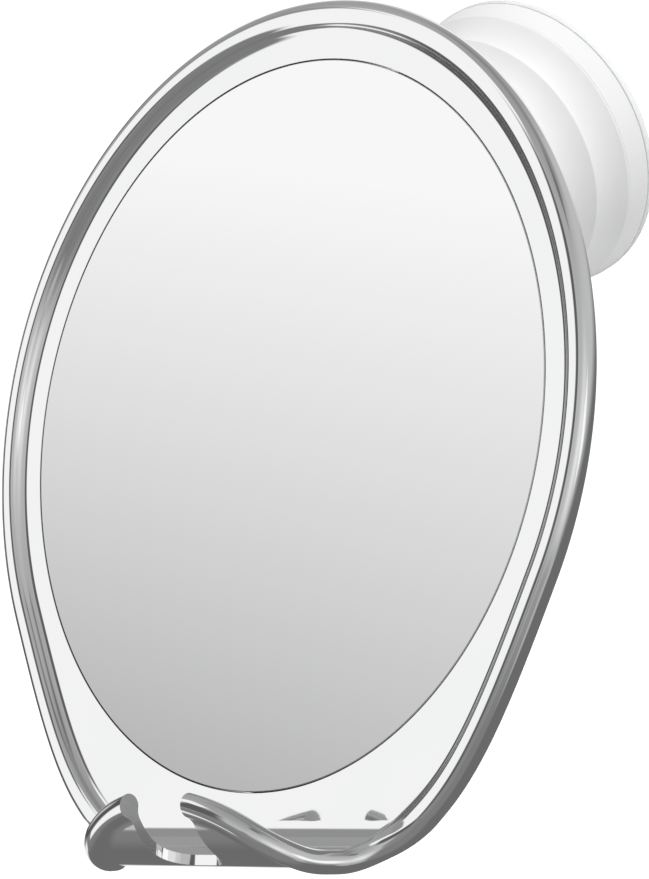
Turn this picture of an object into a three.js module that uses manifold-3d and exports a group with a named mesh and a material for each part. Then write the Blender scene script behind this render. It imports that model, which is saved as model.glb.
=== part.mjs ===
// Fogless shower mirror on a twist-lock suction unit.
//
// Millimetres, +Z up. The origin is the middle of the suction pad's wall face and +Y points into the
// wall, so the mirror faces -Y. The head is drawn round the mirror's centre, with the mirror's face at
// y = 0 and its back toward +Y, and is then hung on the ball and tilted. The suction unit is turned
// round the Y axis, and its pieces are placed by their distance from the wall.

import * as THREE from "three";
import { mergeVertices } from "three/addons/utils/BufferGeometryUtils.js";
import Module from "manifold-3d";

const wasm = await Module();
wasm.setup();

const { degToRad } = THREE.MathUtils;

// General clearances

const seatGap = 0.3; // between pieces that lie on each other
const runningGap = 0.3; // between pieces that turn or slide in each other
const cutOverrun = 2; // how far a cutter runs past the face that it opens
const joinOverlap = 0.6; // how far two joined volumes run into each other
const weldDistance = 0.0001; // vertices nearer than this are one vertex

// Mirror and its recess

const mirrorRadius = 74.9;
const mirrorThickness = 2;
const mirrorEdgeChamfer = 0.3;
const mirrorRimGap = 0.3;
const tapeThickness = 0.7;
const tapeInset = 4; // from the pane's edge
const tapeWidth = 12;

// Plate and bead of the frame

const plateThickness = 2;
const beadRadius = 2.4;
const rimWidth = 9.7; // from the recess to the middle of the bead
const rimRise = 0.1; // bead centre in front of the plate's front face, round the mirror
const filletRadius = 3;
const crownRadius = 12; // of the bead's flatter crown round the mirror
const crownOuterTilt = degToRad(2);
const crownInnerTilt = -degToRad(6);
const crownShoulderRadius = 1.8; // from the crown down to the front fillet
const creaseRadius = 2.6; // of the front fillet round the mirror
const panFloorThickness = 1.7;
const panWall = 2.6;
const panChamfer = 0.8;

// Bend, trough and lip of the frame, along the plate's front face

const bendMargin = 5.3; // from the recess down to the line where the bend starts
const bendRadius = 7.8;
const floorLength = 2;
const lipBendRadius = 14;
const lipAngle = degToRad(54);

// Outline of the plate, laid out flat: half widths, and runs past the bend line

const sideEndAngle = degToRad(25); // below the horizontal, where the round outline ends
const sidePull = 34.2;
const hipHalfWidth = 40.2;
const hipRun = 5.3;
const hipSlope = degToRad(30);
const hipUpperPull = 18.7;
const hipLowerPull = 6;
const shoulderHalfWidth = 29.8;
const shoulderRun = 17.8;
const shoulderSlope = degToRad(62);
const shoulderUpperPull = 5.6;
const shoulderLowerPull = 9.5;
const tipRun = 33.2;
const tipPull = 13.1;

// Slot between the two razor hooks

const slotWidth = 18;
const slotRear = 12; // in front of the plate's front face
const slotCornerRadius = 6.5;

// Ball joint

const ballRadius = 8;
const ballAboveCentre = 37.2;
const linerThickness = 1.1;
const frontLinerAngle = degToRad(62); // from the front pole to the cup's edge
const rearLinerStart = degToRad(68); // from the rear pole to the mouth's edge
const rearLinerEnd = degToRad(85);
const preloadThickness = 1.2;
const preloadRadius = 4.5;
const bossRadius = 17;
const bossChamfer = 0.8;
const capThickness = 5.4;
const capMouthAngle = degToRad(66);
const capMouthFlare = 1.3;
const capEdgeDrop = 2;
const capEdgeChamfer = 1.6;

// Screws of the socket cap

const screwCount = 3;
const screwPitchRadius = 13.2;
const screwShankRadius = 1.1;
const screwLength = 9;
const screwHeadRadius = 2.1;
const screwHeadHeight = 1.5;
const screwDriveRadius = 1;
const screwDriveDepth = 0.8;

// Suction pad, by distance from the wall

const padRadius = 33.2;
const padThickness = 1.8;
const padLipHeight = 0.3;
const padLipWidth = 2.4;
const padEdgeRound = 0.5;

// Base housing

const padOverhang = 0.2; // of the pad beyond the housing's wall edge
const housingDraft = 0.85; // from the wall edge to the front edge
const housingBandHeight = 5.4;
const housingBandThickness = 2.4;
const housingPlateThickness = 2.4;
const housingDomeRadius = 17;
const housingDomeRise = 5.8;
const housingDomeRun = 2.4;
const postRadius = 9;
const postTip = 0.7; // of the post in front of the clip
const clipGrooveDepth = 0.9;

// Twist lock

const pinHeight = 24;
const pinRadius = 1.35;
const pinLift = 2.5;
const pinSlotGap = 0.3;
const twistAngle = degToRad(90);
const stemFootRadius = 13.5;
const stemFootThickness = 2.2;
const stemConeRadius = 7;
const stemConeHeight = 1.2;
const stemRadius = 4.3;
const stemTip = 4.6; // of the stem in front of its cross hole
const stemHeadroom = 0.5; // in front of the stem at the end of its stroke
const washerThickness = 1.1;
const washerOuterRadius = 14;
const sleeveThickness = 3.7;
const sleeveWeb = 7; // between the cam ring and the floor of the knob's recess
const keyWidth = 3;
const keyHeight = 1.2;
const keyCount = 2;
const slotOverturn = degToRad(9); // how far each helical slot runs past the pin at both ends

// Twist knob with its flared tiers

const tierCount = 5;
const tierPitch = 8.3;
const firstCrestOverhang = 0.15; // beyond the housing's front edge
const lastCrestRadius = 23.1;
const crestHeight = 8.6;
const crestLip = 0.9;
const crestRound = 0.35;
const grooveDepth = 1;
const knobWall = 2.3;
const knobSleeveWall = 2.2;
const knobSleeveLength = 18.3;
const knobFrontThickness = 1.6;
const knobNoseRadius = 17.8;
const knobNoseRise = 3.2; // in front of the last crest
const knobRecessDepth = 1.4;
const knobRecessEdge = 0.9; // wall between the recess and the nose's round

// Clip, nose cap and ball stud

const clipThickness = 0.9;
const clipOuterRadius = 12;
const clipMouthAngle = degToRad(34); // half of the clip's opening
const noseSideGap = 0.5;
const noseHeight = 5.2;
const noseHubRadius = 7;
const noseWall = 1.6;
const studShankRadius = 2.6;
const studBoreDepth = 10;
const studFlangeRadius = 5.2;
const studFlangeThickness = 1.5;
const studNeckRadius = 3;
const studNeckTaper = 2.4;

// Rest pose

const headTilt = degToRad(33); // the mirror faces this far above the horizontal

// Derived sizes shared by several pieces

const recessRadius = mirrorRadius + mirrorRimGap;
const beadPathRadius = recessRadius + rimWidth;
const bendDrop = recessRadius + bendMargin; // below the mirror's centre
const tapeOuterRadius = mirrorRadius - tapeInset;
const tapeInnerRadius = tapeOuterRadius - tapeWidth;
const recessDepth = mirrorThickness + seatGap + tapeThickness + seatGap;
const panBack = recessDepth + panFloorThickness;
const panRadius = recessRadius + panWall;
const linerInnerRadius = ballRadius + runningGap;
const linerOuterRadius = linerInnerRadius + linerThickness;
const socketRadius = linerOuterRadius + runningGap;
const preloadBack = linerOuterRadius + seatGap; // in front of the ball's centre
const ballBehindFace = panBack + seatGap + preloadThickness + preloadBack;
const bossEnd = ballBehindFace - seatGap / 2;
const capStart = seatGap / 2; // behind the ball's centre
const housingStart = padThickness + padLipHeight + seatGap;
const housingDomeTop = housingStart + housingPlateThickness + housingDomeRise;
const sleeveStart = housingDomeTop + seatGap + washerThickness + seatGap;
const sleeveInnerRadius = postRadius + runningGap;
const sleeveOuterRadius = sleeveInnerRadius + sleeveThickness;
const housingWallRadius = padRadius - padOverhang;
const housingFrontRadius = housingWallRadius - housingDraft;
const crestRadius = housingFrontRadius + firstCrestOverhang;
const tierStep = (crestRadius - lastCrestRadius) / (tierCount - 1);
const knobNoseHeight = crestHeight + tierPitch * (tierCount - 1) + knobNoseRise;
const knobRecessRadius = knobNoseRadius - knobRecessEdge;
const knobRecessFloor = knobNoseHeight - knobRecessDepth;
const sleeveEnd = knobRecessFloor - sleeveWeb - seatGap;
const knobSleeveStart = sleeveEnd - knobSleeveLength;
const stemEnd = pinHeight + pinRadius + stemTip;
const postBoreRadius = stemRadius + runningGap;
const postBoreEnd = stemEnd + pinLift + stemHeadroom;
const clipStart = knobRecessFloor + 2 * seatGap;
const clipEnd = clipStart + clipThickness;
const postEnd = clipEnd + seatGap + postTip;
const studBoreRadius = studShankRadius + seatGap;
const studBoreStart = postEnd - studBoreDepth;
const noseRadius = knobRecessRadius - noseSideGap;
const noseStart = clipEnd + seatGap;
const noseEnd = noseStart + noseHeight;
const studShankStart = studBoreStart + 2 * seatGap;
const studFlangeStart = noseEnd + seatGap;
const studFlangeEnd = studFlangeStart + studFlangeThickness;
const ballFromWall = 69;
const quarterTurn = Math.PI / 2;
const fullTurn = 2 * Math.PI;

// Facets

const discSteps = 72;
const knobSteps = 40;
const smallSteps = 12;
const postSteps = 28;
const roundOutlineSteps = 46;
const curveSteps = 9;
const beadArcSteps = 8;
const crownSteps = 3;
const crownShoulderSteps = 2;
const filletSteps = 3;
const slotCornerSteps = 6;
const ballSteps = 7;
const slotSteps = 14;
const tierSteps = 4;
const bendSteps = 7;
const lipBendSteps = 6;
const lipSteps = 6;

// Closed meshes and booleans

function signedVolume(positions, triangles) {
  const corners = [new THREE.Vector3(), new THREE.Vector3(), new THREE.Vector3()];
  let volume = 0;
  for (let i = 0; i < triangles.length; i += 3) {
    corners.forEach((corner, k) => corner.fromArray(positions, 3 * triangles[i + k]));
    volume += corners[0].dot(corners[1].cross(corners[2])) / 6;
  }
  return volume;
}

function toSolid(geometry) {
  const bare = geometry.clone();
  bare.deleteAttribute("normal");
  bare.deleteAttribute("uv");
  const merged = mergeVertices(bare, weldDistance);
  const positions = merged.attributes.position.array;
  const indices = Array.from(merged.index.array);
  const triangles = [];
  for (let i = 0; i < indices.length; i += 3) {
    const [a, b, c] = indices.slice(i, i + 3);
    if (a !== b && b !== c && c !== a) {
      triangles.push(a, b, c);
    }
  }
  if (signedVolume(positions, triangles) < 0) {
    triangles.reverse();
  }
  return new wasm.Manifold(new wasm.Mesh({
    numProp: 3,
    vertProperties: Float32Array.from(positions),
    triVerts: Uint32Array.from(triangles),
  }));
}

function toGeometry(solid) {
  const mesh = solid.getMesh();
  const geometry = new THREE.BufferGeometry();
  geometry.setAttribute("position", new THREE.BufferAttribute(mesh.vertProperties, 3));
  geometry.setIndex(new THREE.BufferAttribute(mesh.triVerts, 1));
  geometry.computeVertexNormals();
  return geometry;
}

function piece(name, solid, material) {
  const mesh = new THREE.Mesh(toGeometry(solid), material);
  mesh.name = name;
  return mesh;
}

// A solid turned round the Y axis, from [radius, y] points
function revolve(profile, steps) {
  const points = profile.map(([radius, y]) => new THREE.Vector2(radius, y));
  return toSolid(new THREE.LatheGeometry(points, steps));
}

// A ring turned round the Y axis: its profile closes on itself
function revolveRing(profile, steps) {
  return revolve([...profile, profile[0]], steps);
}

// A ring or disc of the suction unit, from [radius, distance from the wall] points
function revolveFromWall(profile, steps) {
  return revolve(profile.map(([radius, distance]) => [radius, -distance]), steps);
}

function revolveRingFromWall(profile, steps) {
  return revolveFromWall([...profile, profile[0]], steps);
}

// Points of a circular arc as [radius, y] pairs, with angles from the +Y pole
function polarArc(radius, from, to, steps) {
  const points = [];
  for (let i = 0; i <= steps; i += 1) {
    const angle = from + (to - from) * i / steps;
    points.push([radius * Math.sin(angle), radius * Math.cos(angle)]);
  }
  return points;
}

function rodAlongX(radius, length, steps) {
  const geometry = new THREE.CylinderGeometry(radius, radius, length, steps);
  geometry.rotateZ(quarterTurn);
  return geometry;
}

// A closed solid through rings of equally many points, capped by the triangles of capFaces
function loft(rings, capFaces) {
  const count = rings[0].length;
  const last = (rings.length - 1) * count;
  const positions = rings.flat().flatMap((point) => point.toArray());
  const triangles = [];
  for (let ring = 0; ring < rings.length - 1; ring += 1) {
    for (let side = 0; side < count; side += 1) {
      const a = ring * count + side;
      const b = ring * count + (side + 1) % count;
      triangles.push(a, b, b + count, a, b + count, a + count);
    }
  }
  capFaces.forEach(([a, b, c]) => {
    triangles.push(a, c, b);
    triangles.push(last + a, last + b, last + c);
  });
  const geometry = new THREE.BufferGeometry();
  geometry.setAttribute("position", new THREE.Float32BufferAttribute(positions, 3));
  geometry.setIndex(triangles);
  return toSolid(geometry);
}

// The bent sheet: place and directions on the plate's front face, run past the bend line

const bendStretches = [
  { length: bendRadius * quarterTurn, radius: bendRadius },
  { length: floorLength, radius: 0 },
  { length: lipBendRadius * lipAngle, radius: lipBendRadius },
];

function sheetAt(run) {
  const place = new THREE.Vector2(0, -bendDrop);
  let heading = -quarterTurn;
  let left = run;
  const forward = () => new THREE.Vector2(Math.cos(heading), Math.sin(heading));
  const inward = () => new THREE.Vector2(-Math.sin(heading), Math.cos(heading));
  if (run > 0) {
    for (const { length, radius } of bendStretches) {
      const used = Math.min(left, length);
      if (radius > 0) {
        place.addScaledVector(inward(), radius);
        heading += used / radius;
        place.addScaledVector(inward(), -radius);
      } else {
        place.addScaledVector(forward(), used);
      }
      left -= used;
    }
  }
  place.addScaledVector(forward(), left);
  return {
    place: new THREE.Vector3(0, -place.x, place.y),
    normal: new THREE.Vector3(0, -inward().x, inward().y),
  };
}

// Outline of the flat sheet: the right half from the slot's middle up to the top

function slopedPoint(x, y, slope, pull) {
  return new THREE.Vector2(x + pull * Math.cos(slope), y + pull * Math.sin(slope));
}

function rightOutline() {
  const tip = new THREE.Vector2(0, -bendDrop - tipRun);
  const shoulder = new THREE.Vector2(shoulderHalfWidth, -bendDrop - shoulderRun);
  const hip = new THREE.Vector2(hipHalfWidth, -bendDrop - hipRun);
  const side = new THREE.Vector2(
    beadPathRadius * Math.cos(sideEndAngle),
    -beadPathRadius * Math.sin(sideEndAngle),
  );
  const sideSlope = quarterTurn - sideEndAngle;
  const outline = new THREE.CurvePath();
  outline.add(new THREE.CubicBezierCurve(
    tip,
    slopedPoint(tip.x, tip.y, 0, tipPull),
    slopedPoint(shoulder.x, shoulder.y, shoulderSlope, -shoulderLowerPull),
    shoulder,
  ));
  outline.add(new THREE.CubicBezierCurve(
    shoulder,
    slopedPoint(shoulder.x, shoulder.y, shoulderSlope, shoulderUpperPull),
    slopedPoint(hip.x, hip.y, hipSlope, -hipLowerPull),
    hip,
  ));
  outline.add(new THREE.CubicBezierCurve(
    hip,
    slopedPoint(hip.x, hip.y, hipSlope, hipUpperPull),
    slopedPoint(side.x, side.y, sideSlope, -sidePull),
    side,
  ));
  const lower = outline.curves.flatMap((curve) => curve.getPoints(curveSteps).slice(0, -1));
  const round = [];
  const halfSteps = roundOutlineSteps / 2;
  for (let i = 0; i <= halfSteps; i += 1) {
    const angle = -sideEndAngle + (quarterTurn + sideEndAngle) * i / halfSteps;
    round.push(new THREE.Vector2(beadPathRadius * Math.cos(angle), beadPathRadius * Math.sin(angle)));
  }
  return [...lower, ...round];
}

function mirrored(points) {
  return points.map((point) => new THREE.Vector2(-point.x, point.y)).reverse();
}

// Half width of the flat sheet at a height below the side's end
function halfWidthAt(height, outline) {
  for (let i = 1; i < outline.length; i += 1) {
    const low = outline[i - 1];
    const high = outline[i];
    if (height <= high.y) {
      const share = (height - low.y) / (high.y - low.y);
      return low.x + (high.x - low.x) * share;
    }
  }
  return beadPathRadius;
}

// The flat plate above the bend line
function flatPlate(outline) {
  const above = outline.filter((point) => point.y > -bendDrop);
  const bendEnd = new THREE.Vector2(halfWidthAt(-bendDrop, outline), -bendDrop);
  const right = [bendEnd, ...above];
  const shape = new THREE.Shape([...right, ...mirrored(right).slice(1)]);
  const geometry = new THREE.ExtrudeGeometry(shape, { depth: plateThickness, bevelEnabled: false });
  geometry.rotateX(quarterTurn);
  geometry.translate(0, plateThickness, 0);
  return toSolid(geometry);
}

// The bent sheet from just above the bend line to just short of the tip
function bentSheet(outline) {
  const runs = [-joinOverlap];
  const stretches = [
    [bendStretches[0].length, bendSteps],
    [bendStretches[1].length, 1],
    [bendStretches[2].length, lipBendSteps],
  ];
  let start = 0;
  for (const [length, steps] of stretches) {
    for (let i = 0; i < steps; i += 1) {
      runs.push(start + length * i / steps);
    }
    start += length;
  }
  for (let i = 0; i < lipSteps; i += 1) {
    runs.push(start + (tipRun - start) * i / lipSteps);
  }
  const rings = runs.map((run) => {
    const { place, normal } = sheetAt(run);
    const half = halfWidthAt(-bendDrop - run, outline);
    const back = place.clone().addScaledVector(normal, -plateThickness);
    return [
      new THREE.Vector3(-half, place.y, place.z),
      new THREE.Vector3(half, place.y, place.z),
      new THREE.Vector3(half, back.y, back.z),
      new THREE.Vector3(-half, back.y, back.z),
    ];
  });
  return loft(rings, [[0, 1, 2], [0, 2, 3]]);
}

// Section of the bead: a round outer side, a flatter crown and a hollow fillet to each face of the plate.
// Where the crown's share is 0 the three front arcs are one arc, which makes the hooks' round droplet.
function beadSection(rise, crownShare) {
  const crown = THREE.MathUtils.lerp(beadRadius, crownRadius, crownShare);
  const shoulder = THREE.MathUtils.lerp(beadRadius, crownShoulderRadius, crownShare);
  const crease = THREE.MathUtils.lerp(filletRadius, creaseRadius, crownShare);
  const leaning = (centre, distance, tilt) => new THREE.Vector2(
    centre.x + distance * Math.sin(tilt),
    centre.y + distance * Math.cos(tilt),
  );
  const outerCentre = new THREE.Vector2(0, rise);
  const crownCentre = leaning(outerCentre, beadRadius - crown, crownOuterTilt);
  const shoulderCentre = leaning(crownCentre, crown - shoulder, crownInnerTilt);
  const frontCentre = new THREE.Vector2(
    shoulderCentre.x - Math.sqrt((shoulder + crease) ** 2 - (crease - shoulderCentre.y) ** 2),
    crease,
  );
  const rearHeight = filletRadius + rise + plateThickness;
  const rearCentre = new THREE.Vector2(
    -Math.sqrt((beadRadius + filletRadius) ** 2 - rearHeight ** 2),
    -plateThickness - filletRadius,
  );
  const frontLean = Math.atan2(frontCentre.x - shoulderCentre.x, frontCentre.y - shoulderCentre.y);
  const rearLean = fullTurn + Math.atan2(rearCentre.x, -rearHeight);
  const points = [];
  const addArc = (centre, radius, start, end, steps) => {
    for (let i = 0; i < steps; i += 1) {
      points.push(leaning(centre, radius, THREE.MathUtils.lerp(start, end, i / steps)));
    }
  };
  addArc(frontCentre, -crease, 0, frontLean, filletSteps);
  addArc(shoulderCentre, shoulder, frontLean, crownInnerTilt, crownShoulderSteps);
  addArc(crownCentre, crown, crownInnerTilt, crownOuterTilt, crownSteps);
  addArc(outerCentre, beadRadius, crownOuterTilt, rearLean, beadArcSteps);
  addArc(rearCentre, -filletRadius, rearLean, Math.PI, filletSteps);
  points.push(leaning(rearCentre, -filletRadius, Math.PI));
  return points.reverse();
}

// The bead swept along the whole outline, from slot to slot
function bead(outline) {
  const right = outline.filter((point) => point.x > joinOverlap);
  const path = [...right, new THREE.Vector2(0, beadPathRadius), ...mirrored(right)];
  const hookRise = -plateThickness / 2;
  const hookRun = shoulderRun;
  const rings = path.map((point, i) => {
    const before = path[Math.max(i - 1, 0)];
    const after = path[Math.min(i + 1, path.length - 1)];
    const tangent = after.clone().sub(before).normalize();
    const outward = new THREE.Vector2(tangent.y, -tangent.x);
    const blend = THREE.MathUtils.smoothstep(-bendDrop - point.y, 0, hookRun);
    return beadSection(THREE.MathUtils.lerp(rimRise, hookRise, blend), 1 - blend).map(({ x, y }) => {
      const flat = point.clone().addScaledVector(outward, x);
      const { place, normal } = sheetAt(-bendDrop - flat.y);
      return new THREE.Vector3(flat.x, place.y, place.z).addScaledVector(normal, y);
    });
  });
  return loft(rings, THREE.ShapeUtils.triangulateShape(beadSection(hookRise, 0), []));
}

// Cutter of the slot between the hooks: rounded at the rear, open at the front
function slotCutter() {
  const half = slotWidth / 2;
  const front = slotRear + bendDrop;
  const shape = new THREE.Shape();
  shape.moveTo(-half, front);
  shape.lineTo(-half, slotRear + slotCornerRadius);
  shape.absarc(-half + slotCornerRadius, slotRear + slotCornerRadius, slotCornerRadius, Math.PI, 3 * quarterTurn);
  shape.absarc(half - slotCornerRadius, slotRear + slotCornerRadius, slotCornerRadius, 3 * quarterTurn, fullTurn);
  shape.lineTo(half, front);
  const geometry = new THREE.ExtrudeGeometry(shape, {
    depth: bendDrop,
    bevelEnabled: false,
    curveSegments: slotCornerSteps,
  });
  geometry.rotateX(Math.PI);
  geometry.translate(0, 0, -bendDrop / 2);
  return toSolid(geometry);
}

// The round pan behind the plate that deepens the mirror's recess
function recessPan() {
  return revolve([
    [0, joinOverlap],
    [panRadius, joinOverlap],
    [panRadius, panBack - panChamfer],
    [panRadius - panChamfer, panBack],
    [0, panBack],
  ], discSteps);
}

// A solid made round the ball's axis, moved to the ball's place behind the mirror's face
function atBall(solid, behindFace) {
  return solid.translate([0, behindFace, ballAboveCentre]);
}

function socketBoss() {
  return atBall(revolve([
    [0, panBack - joinOverlap],
    [bossRadius, panBack - joinOverlap],
    [bossRadius, bossEnd - bossChamfer],
    [bossRadius - bossChamfer, bossEnd],
    [0, bossEnd],
  ], postSteps), 0);
}

// Room for the preload pad, the liners and the ball, relative to the ball's centre
function socketCavity() {
  const pocketFloor = panBack - ballBehindFace;
  return atBall(revolve([
    [0, pocketFloor],
    [preloadRadius + runningGap, pocketFloor],
    ...polarArc(socketRadius, Math.PI - Math.asin((preloadRadius + runningGap) / socketRadius), quarterTurn, ballSteps),
    [socketRadius, cutOverrun],
    [0, cutOverrun],
  ], postSteps), ballBehindFace);
}

function screwPlaces() {
  return Array.from({ length: screwCount }, (_, i) => {
    const angle = quarterTurn + fullTurn * i / screwCount;
    return [screwPitchRadius * Math.cos(angle), 0, screwPitchRadius * Math.sin(angle)];
  });
}

// Screws are drawn with the underside of the head at y = 0, the head toward +Y
const screwSeat = capStart + capThickness - screwHeadHeight - seatGap; // behind the ball's centre

function screwHole(radius, from, to) {
  return revolve([[0, from], [radius, from], [radius, to], [0, to]], smallSteps);
}

function atScrews(makeSolid) {
  return screwPlaces().map((place) => atBall(makeSolid().translate(place), ballBehindFace));
}

function makeFrame() {
  const outline = rightOutline();
  let solid = flatPlate(outline).add(bentSheet(outline)).add(bead(outline));
  solid = solid.subtract(slotCutter());
  solid = solid.add(recessPan()).add(socketBoss());
  const recess = revolve([
    [0, -cutOverrun],
    [recessRadius, -cutOverrun],
    [recessRadius, recessDepth],
    [0, recessDepth],
  ], discSteps);
  solid = solid.subtract(recess).subtract(socketCavity());
  const pilotDepth = screwSeat - screwLength - runningGap;
  atScrews(() => screwHole(screwShankRadius + runningGap, pilotDepth, cutOverrun)).forEach((hole) => {
    solid = solid.subtract(hole);
  });
  return solid;
}

function makeMirror() {
  return revolve([
    [0, 0],
    [mirrorRadius - mirrorEdgeChamfer, 0],
    [mirrorRadius, mirrorEdgeChamfer],
    [mirrorRadius, mirrorThickness],
    [0, mirrorThickness],
  ], discSteps);
}

function makeTape() {
  const front = mirrorThickness + seatGap;
  const back = front + tapeThickness;
  return revolveRing([
    [tapeInnerRadius, front],
    [tapeOuterRadius, front],
    [tapeOuterRadius, back],
    [tapeInnerRadius, back],
  ], discSteps);
}

// Ball socket

function makePreloadPad() {
  const front = -preloadBack - preloadThickness;
  return atBall(revolve([
    [0, front],
    [preloadRadius, front],
    [preloadRadius, -preloadBack],
    [0, -preloadBack],
  ], smallSteps), ballBehindFace);
}

function makeFrontLiner() {
  const edge = Math.PI - frontLinerAngle;
  return atBall(revolve([
    ...polarArc(linerOuterRadius, Math.PI, edge, ballSteps),
    ...polarArc(linerInnerRadius, edge, Math.PI, ballSteps),
  ], postSteps), ballBehindFace);
}

function makeRearLiner() {
  return atBall(revolveRing([
    ...polarArc(linerOuterRadius, rearLinerEnd, rearLinerStart, filletSteps),
    ...polarArc(linerInnerRadius, rearLinerStart, rearLinerEnd, filletSteps),
  ], postSteps), ballBehindFace);
}

function makeSocketCap() {
  const back = capStart + capThickness;
  const mouthRadius = socketRadius * Math.sin(capMouthAngle);
  const mouthStart = socketRadius * Math.cos(capMouthAngle);
  const equator = Math.acos(capStart / socketRadius);
  let solid = revolveRing([
    ...polarArc(socketRadius, equator, capMouthAngle, filletSteps),
    [mouthRadius + capMouthFlare, mouthStart + capMouthFlare],
    [bossRadius - capEdgeChamfer - capEdgeDrop, back],
    [bossRadius, back - capEdgeDrop],
    [bossRadius, capStart],
  ], postSteps);
  screwPlaces().forEach((place) => {
    const shankHole = screwHole(screwShankRadius + runningGap, -cutOverrun, back + cutOverrun);
    const headHole = screwHole(screwHeadRadius + runningGap, screwSeat - seatGap, back + cutOverrun);
    solid = solid.subtract(shankHole.add(headHole).translate(place));
  });
  return atBall(solid, ballBehindFace);
}

function makeCapScrew() {
  const shank = revolve([
    [0, screwSeat - screwLength],
    [screwShankRadius / 2, screwSeat - screwLength],
    [screwShankRadius, screwSeat - screwLength + screwShankRadius],
    [screwShankRadius, screwSeat],
    [screwHeadRadius, screwSeat],
    [screwHeadRadius, screwSeat + screwHeadHeight - screwShankRadius / 2],
    [screwHeadRadius - screwShankRadius / 2, screwSeat + screwHeadHeight],
    [0, screwSeat + screwHeadHeight],
  ], smallSteps);
  const hex = new THREE.CylinderGeometry(screwDriveRadius, screwDriveRadius, 2 * screwDriveDepth, 6);
  hex.translate(0, screwSeat + screwHeadHeight, 0);
  return shank.subtract(toSolid(hex));
}

// Suction unit

function makePad() {
  const lipTop = padThickness + padLipHeight;
  return revolveFromWall([
    [0, 0],
    [padRadius - padEdgeRound, 0],
    [padRadius, padEdgeRound],
    [padRadius, lipTop - padEdgeRound / 2],
    [padRadius - padEdgeRound / 2, lipTop],
    [padRadius - padLipWidth, lipTop],
    [padRadius - padLipWidth - padLipHeight, padThickness],
    [0, padThickness],
  ], discSteps);
}

function makeHousing() {
  const bandFront = housingStart + housingBandHeight;
  const plateFront = housingStart + housingPlateThickness;
  const bandInner = housingFrontRadius - housingBandThickness;
  const domeUnder = housingDomeTop - housingPlateThickness;
  const domeFoot = housingDomeRadius + housingDomeRun;
  const grooveRadius = postRadius - clipGrooveDepth;
  const grooveStart = clipStart - seatGap;
  const grooveEnd = clipEnd + seatGap;
  const solid = revolveFromWall([
    [0, studBoreStart],
    [studBoreRadius, studBoreStart],
    [studBoreRadius, postEnd],
    [postRadius, postEnd],
    [postRadius, grooveEnd],
    [grooveRadius, grooveEnd],
    [grooveRadius, grooveStart],
    [postRadius, grooveStart],
    [postRadius, housingDomeTop],
    [housingDomeRadius, housingDomeTop],
    [domeFoot, plateFront],
    [bandInner, plateFront],
    [bandInner, bandFront],
    [housingFrontRadius, bandFront],
    [housingWallRadius, housingStart],
    [domeFoot - housingPlateThickness, housingStart],
    [housingDomeRadius - housingPlateThickness, domeUnder],
    [postBoreRadius, domeUnder],
    [postBoreRadius, postBoreEnd],
    [0, postBoreEnd],
  ], knobSteps);
  const slotHeight = pinLift + 2 * (pinRadius + pinSlotGap);
  const slot = new THREE.BoxGeometry(2 * (postRadius + cutOverrun), slotHeight, 2 * (pinRadius + pinSlotGap));
  slot.translate(0, -pinHeight - pinLift / 2, 0);
  return solid.subtract(toSolid(slot));
}

function makeStem() {
  const footStart = padThickness + seatGap;
  const footFront = footStart + stemFootThickness;
  const shaft = revolveFromWall([
    [0, footStart],
    [stemFootRadius, footStart],
    [stemFootRadius, footFront],
    [stemConeRadius, footFront],
    [stemRadius, footFront + stemConeHeight],
    [stemRadius, stemEnd],
    [0, stemEnd],
  ], postSteps);
  const hole = rodAlongX(pinRadius + seatGap / 2, 2 * (stemRadius + cutOverrun), smallSteps);
  hole.translate(0, -pinHeight, 0);
  return shaft.subtract(toSolid(hole));
}

function makeCrossPin() {
  const pin = rodAlongX(pinRadius, 2 * (sleeveOuterRadius - runningGap), smallSteps);
  pin.translate(0, -pinHeight, 0);
  return toSolid(pin);
}

function makeWasher() {
  const start = housingDomeTop + seatGap;
  return revolveRingFromWall([
    [sleeveInnerRadius, start],
    [washerOuterRadius, start],
    [washerOuterRadius, start + washerThickness],
    [sleeveInnerRadius, start + washerThickness],
  ], postSteps);
}

// Keys or keyways along the cam ring, midway between the two slots
function keys(width, height, start, end) {
  const keyAngle = (Math.PI + twistAngle) / 2;
  return Array.from({ length: keyCount }, (_, i) => {
    const key = new THREE.BoxGeometry(height + joinOverlap, end - start, width);
    const middle = sleeveOuterRadius + (height - joinOverlap) / 2;
    key.translate(middle, -(start + end) / 2, 0);
    key.rotateY(-keyAngle + fullTurn * i / keyCount);
    return toSolid(key);
  });
}

// Cutter of one helical slot. The knob turns clockwise, and the pin climbs as the slot passes it
function helicalSlot(startAngle) {
  const half = pinRadius + pinSlotGap;
  const rings = [];
  for (let i = 0; i <= slotSteps; i += 1) {
    const turned = -slotOverturn + (twistAngle + 2 * slotOverturn) * i / slotSteps;
    const angle = startAngle + turned;
    const rise = pinLift * THREE.MathUtils.clamp(turned / twistAngle, 0, 1);
    const outward = new THREE.Vector3(Math.cos(angle), 0, Math.sin(angle));
    const corner = (radius, offset) => (
      outward.clone().multiplyScalar(radius).setY(-pinHeight - rise + offset)
    );
    rings.push([
      corner(sleeveInnerRadius - cutOverrun, -half),
      corner(sleeveOuterRadius + cutOverrun, -half),
      corner(sleeveOuterRadius + cutOverrun, half),
      corner(sleeveInnerRadius - cutOverrun, half),
    ]);
  }
  return loft(rings, [[0, 1, 2], [0, 2, 3]]);
}

function makeCamRing() {
  let solid = revolveRingFromWall([
    [sleeveInnerRadius, sleeveStart],
    [sleeveOuterRadius, sleeveStart],
    [sleeveOuterRadius, sleeveEnd],
    [sleeveInnerRadius, sleeveEnd],
  ], postSteps);
  keys(keyWidth, keyHeight, knobSleeveStart, sleeveEnd).forEach((key) => {
    solid = solid.add(key);
  });
  return solid.subtract(helicalSlot(0)).subtract(helicalSlot(Math.PI));
}

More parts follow.
